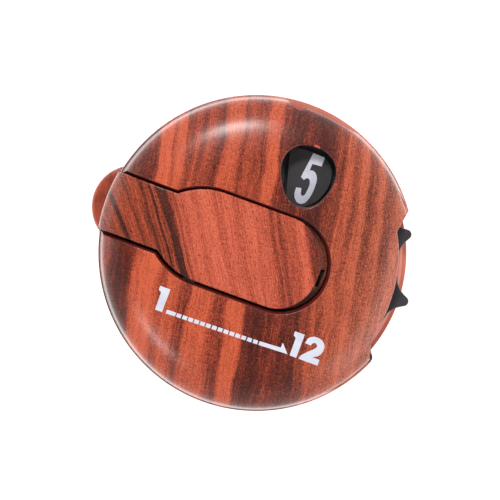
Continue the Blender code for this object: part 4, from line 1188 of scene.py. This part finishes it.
clip_wood, nodes, shader = new_finish("wood_print_clip", 0.34)
u, v = print_place(nodes, grain_deg)
cloud = noise(u * 0.45, v * 0.45, 83.0, 3.0, 0.6)
tone = wood_tone(u, v) * 0.4 + 0.46 + cloud * 1.3 + screen_dots(u, v) * 0.2
ramp(tone, wood_colours).into(shader, "Base Color")
shader.inputs["Coat Weight"].default_value = 0.2
settle("back_clip_strip", clip, "clip", [clip_wood, bare, bare], ["back_clip"])


# ------------ mechanism
# The parts that the case hides: nylon hub, washer, pin and arm, bright spring steel springs and
# ring, and nickel-plated pins, post and screws.
for name, slot, dark, light, rough, metal in (
    ("nylon", "white_nylon", (222, 219, 210), (234, 232, 226), 0.42, 0.0),
    ("spring_steel", "spring_steel", (176, 176, 174), (204, 204, 202), 0.28, 1.0),
    ("plated_steel", "plated_steel", (200, 199, 196), (224, 223, 220), 0.2, 1.0),
):
    finish, nodes, shader = new_finish(name)
    place = nodes.node("TexCoord", out=3)
    stretched = {"Vector": place, "Scale": (4000.0, 4000.0, 600.0)}
    place = nodes.node("Mapping", {}, stretched)
    limits = {"Vector": place, "Scale": 1.0, "Detail": 4.0}
    speck = nodes.node("TexNoise", {}, limits)
    two_tone(shader, speck, dark, light)
    (speck * 0.12 + (rough - 0.06)).into(shader, "Roughness")
    shader.inputs["Metallic"].default_value = metal
    if slot == "spring_steel":
        springy = finish
    for part in frame["record"]["subparts"]:
        if part["material_slot"] == slot:
            for holder in frame["nodes"][part["node"]].material_slots:
                holder.link = "OBJECT"
                holder.material = finish


# ------------ button spring
# A coil of spring steel wire under the release pin's head. It lifts the pin and the button again.
def coil(route, radius, sides=10):
    """A round wire along a route."""
    spokes = [around(0.0, 0.0, radius, 360.0 * side / sides) for side in range(sides)]
    rings = []
    for place, point in enumerate(route):
        after, before = route[min(place + 1, len(route) - 1)], route[max(place - 1, 0)]
        turn = (Vector(after) - Vector(before)).to_track_quat("Z", "Y").to_matrix()
        rings.append([Vector(point) + turn @ Vector((*spoke, 0.0)) for spoke in spokes])
    return tube(rings)


lift_radius = 1.0
lift_low = 7.14
lift_high = 10.05
lift_turns = 7.0
end_rise = 0.6
turn_steps = 24
lift = []
for step in range(int(lift_turns * turn_steps) + 1):
    turn = step / turn_steps
    # The first turn and the last one lie almost flat.
    share = min(max((turn - 1.0) / (lift_turns - 2.0), 0.0), 1.0)
    rise = (lift_high - lift_low - end_rise) * share + end_rise * turn / lift_turns
    lift.append((*around(dial_x, 0.0, lift_radius, 360.0 * turn), lift_low + rise))
lift_coil = settle(
    "button_spring_coil", coil(lift, 0.1), "case", [springy], ["button_spring"]
)
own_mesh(lift_coil)


# ------------ clip spring
# A torsion spring of spring steel wire, wound round the clip's pin. Its lower leg lies on the clip,
# and the upper one bears on the housing.
leg_x = clip_pivot_x - 3.0
twist_radius = 0.555
twist_half = 1.215
twist_steps = 108
twist = [(leg_x, -twist_half, clip_pivot_z - twist_radius)]
for step in range(twist_steps + 1):
    x, z = around(clip_pivot_x, clip_pivot_z, twist_radius, 270.0 + 15.0 * step)
    twist.append((x, -twist_half + 2 * twist_half * step / twist_steps, z))
twist.append((leg_x, twist_half, clip_pivot_z + twist_radius))
clip_coil = settle(
    "clip_spring_coil", coil(twist, 0.125), None, [springy], ["clip_spring"]
)
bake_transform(clip_coil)
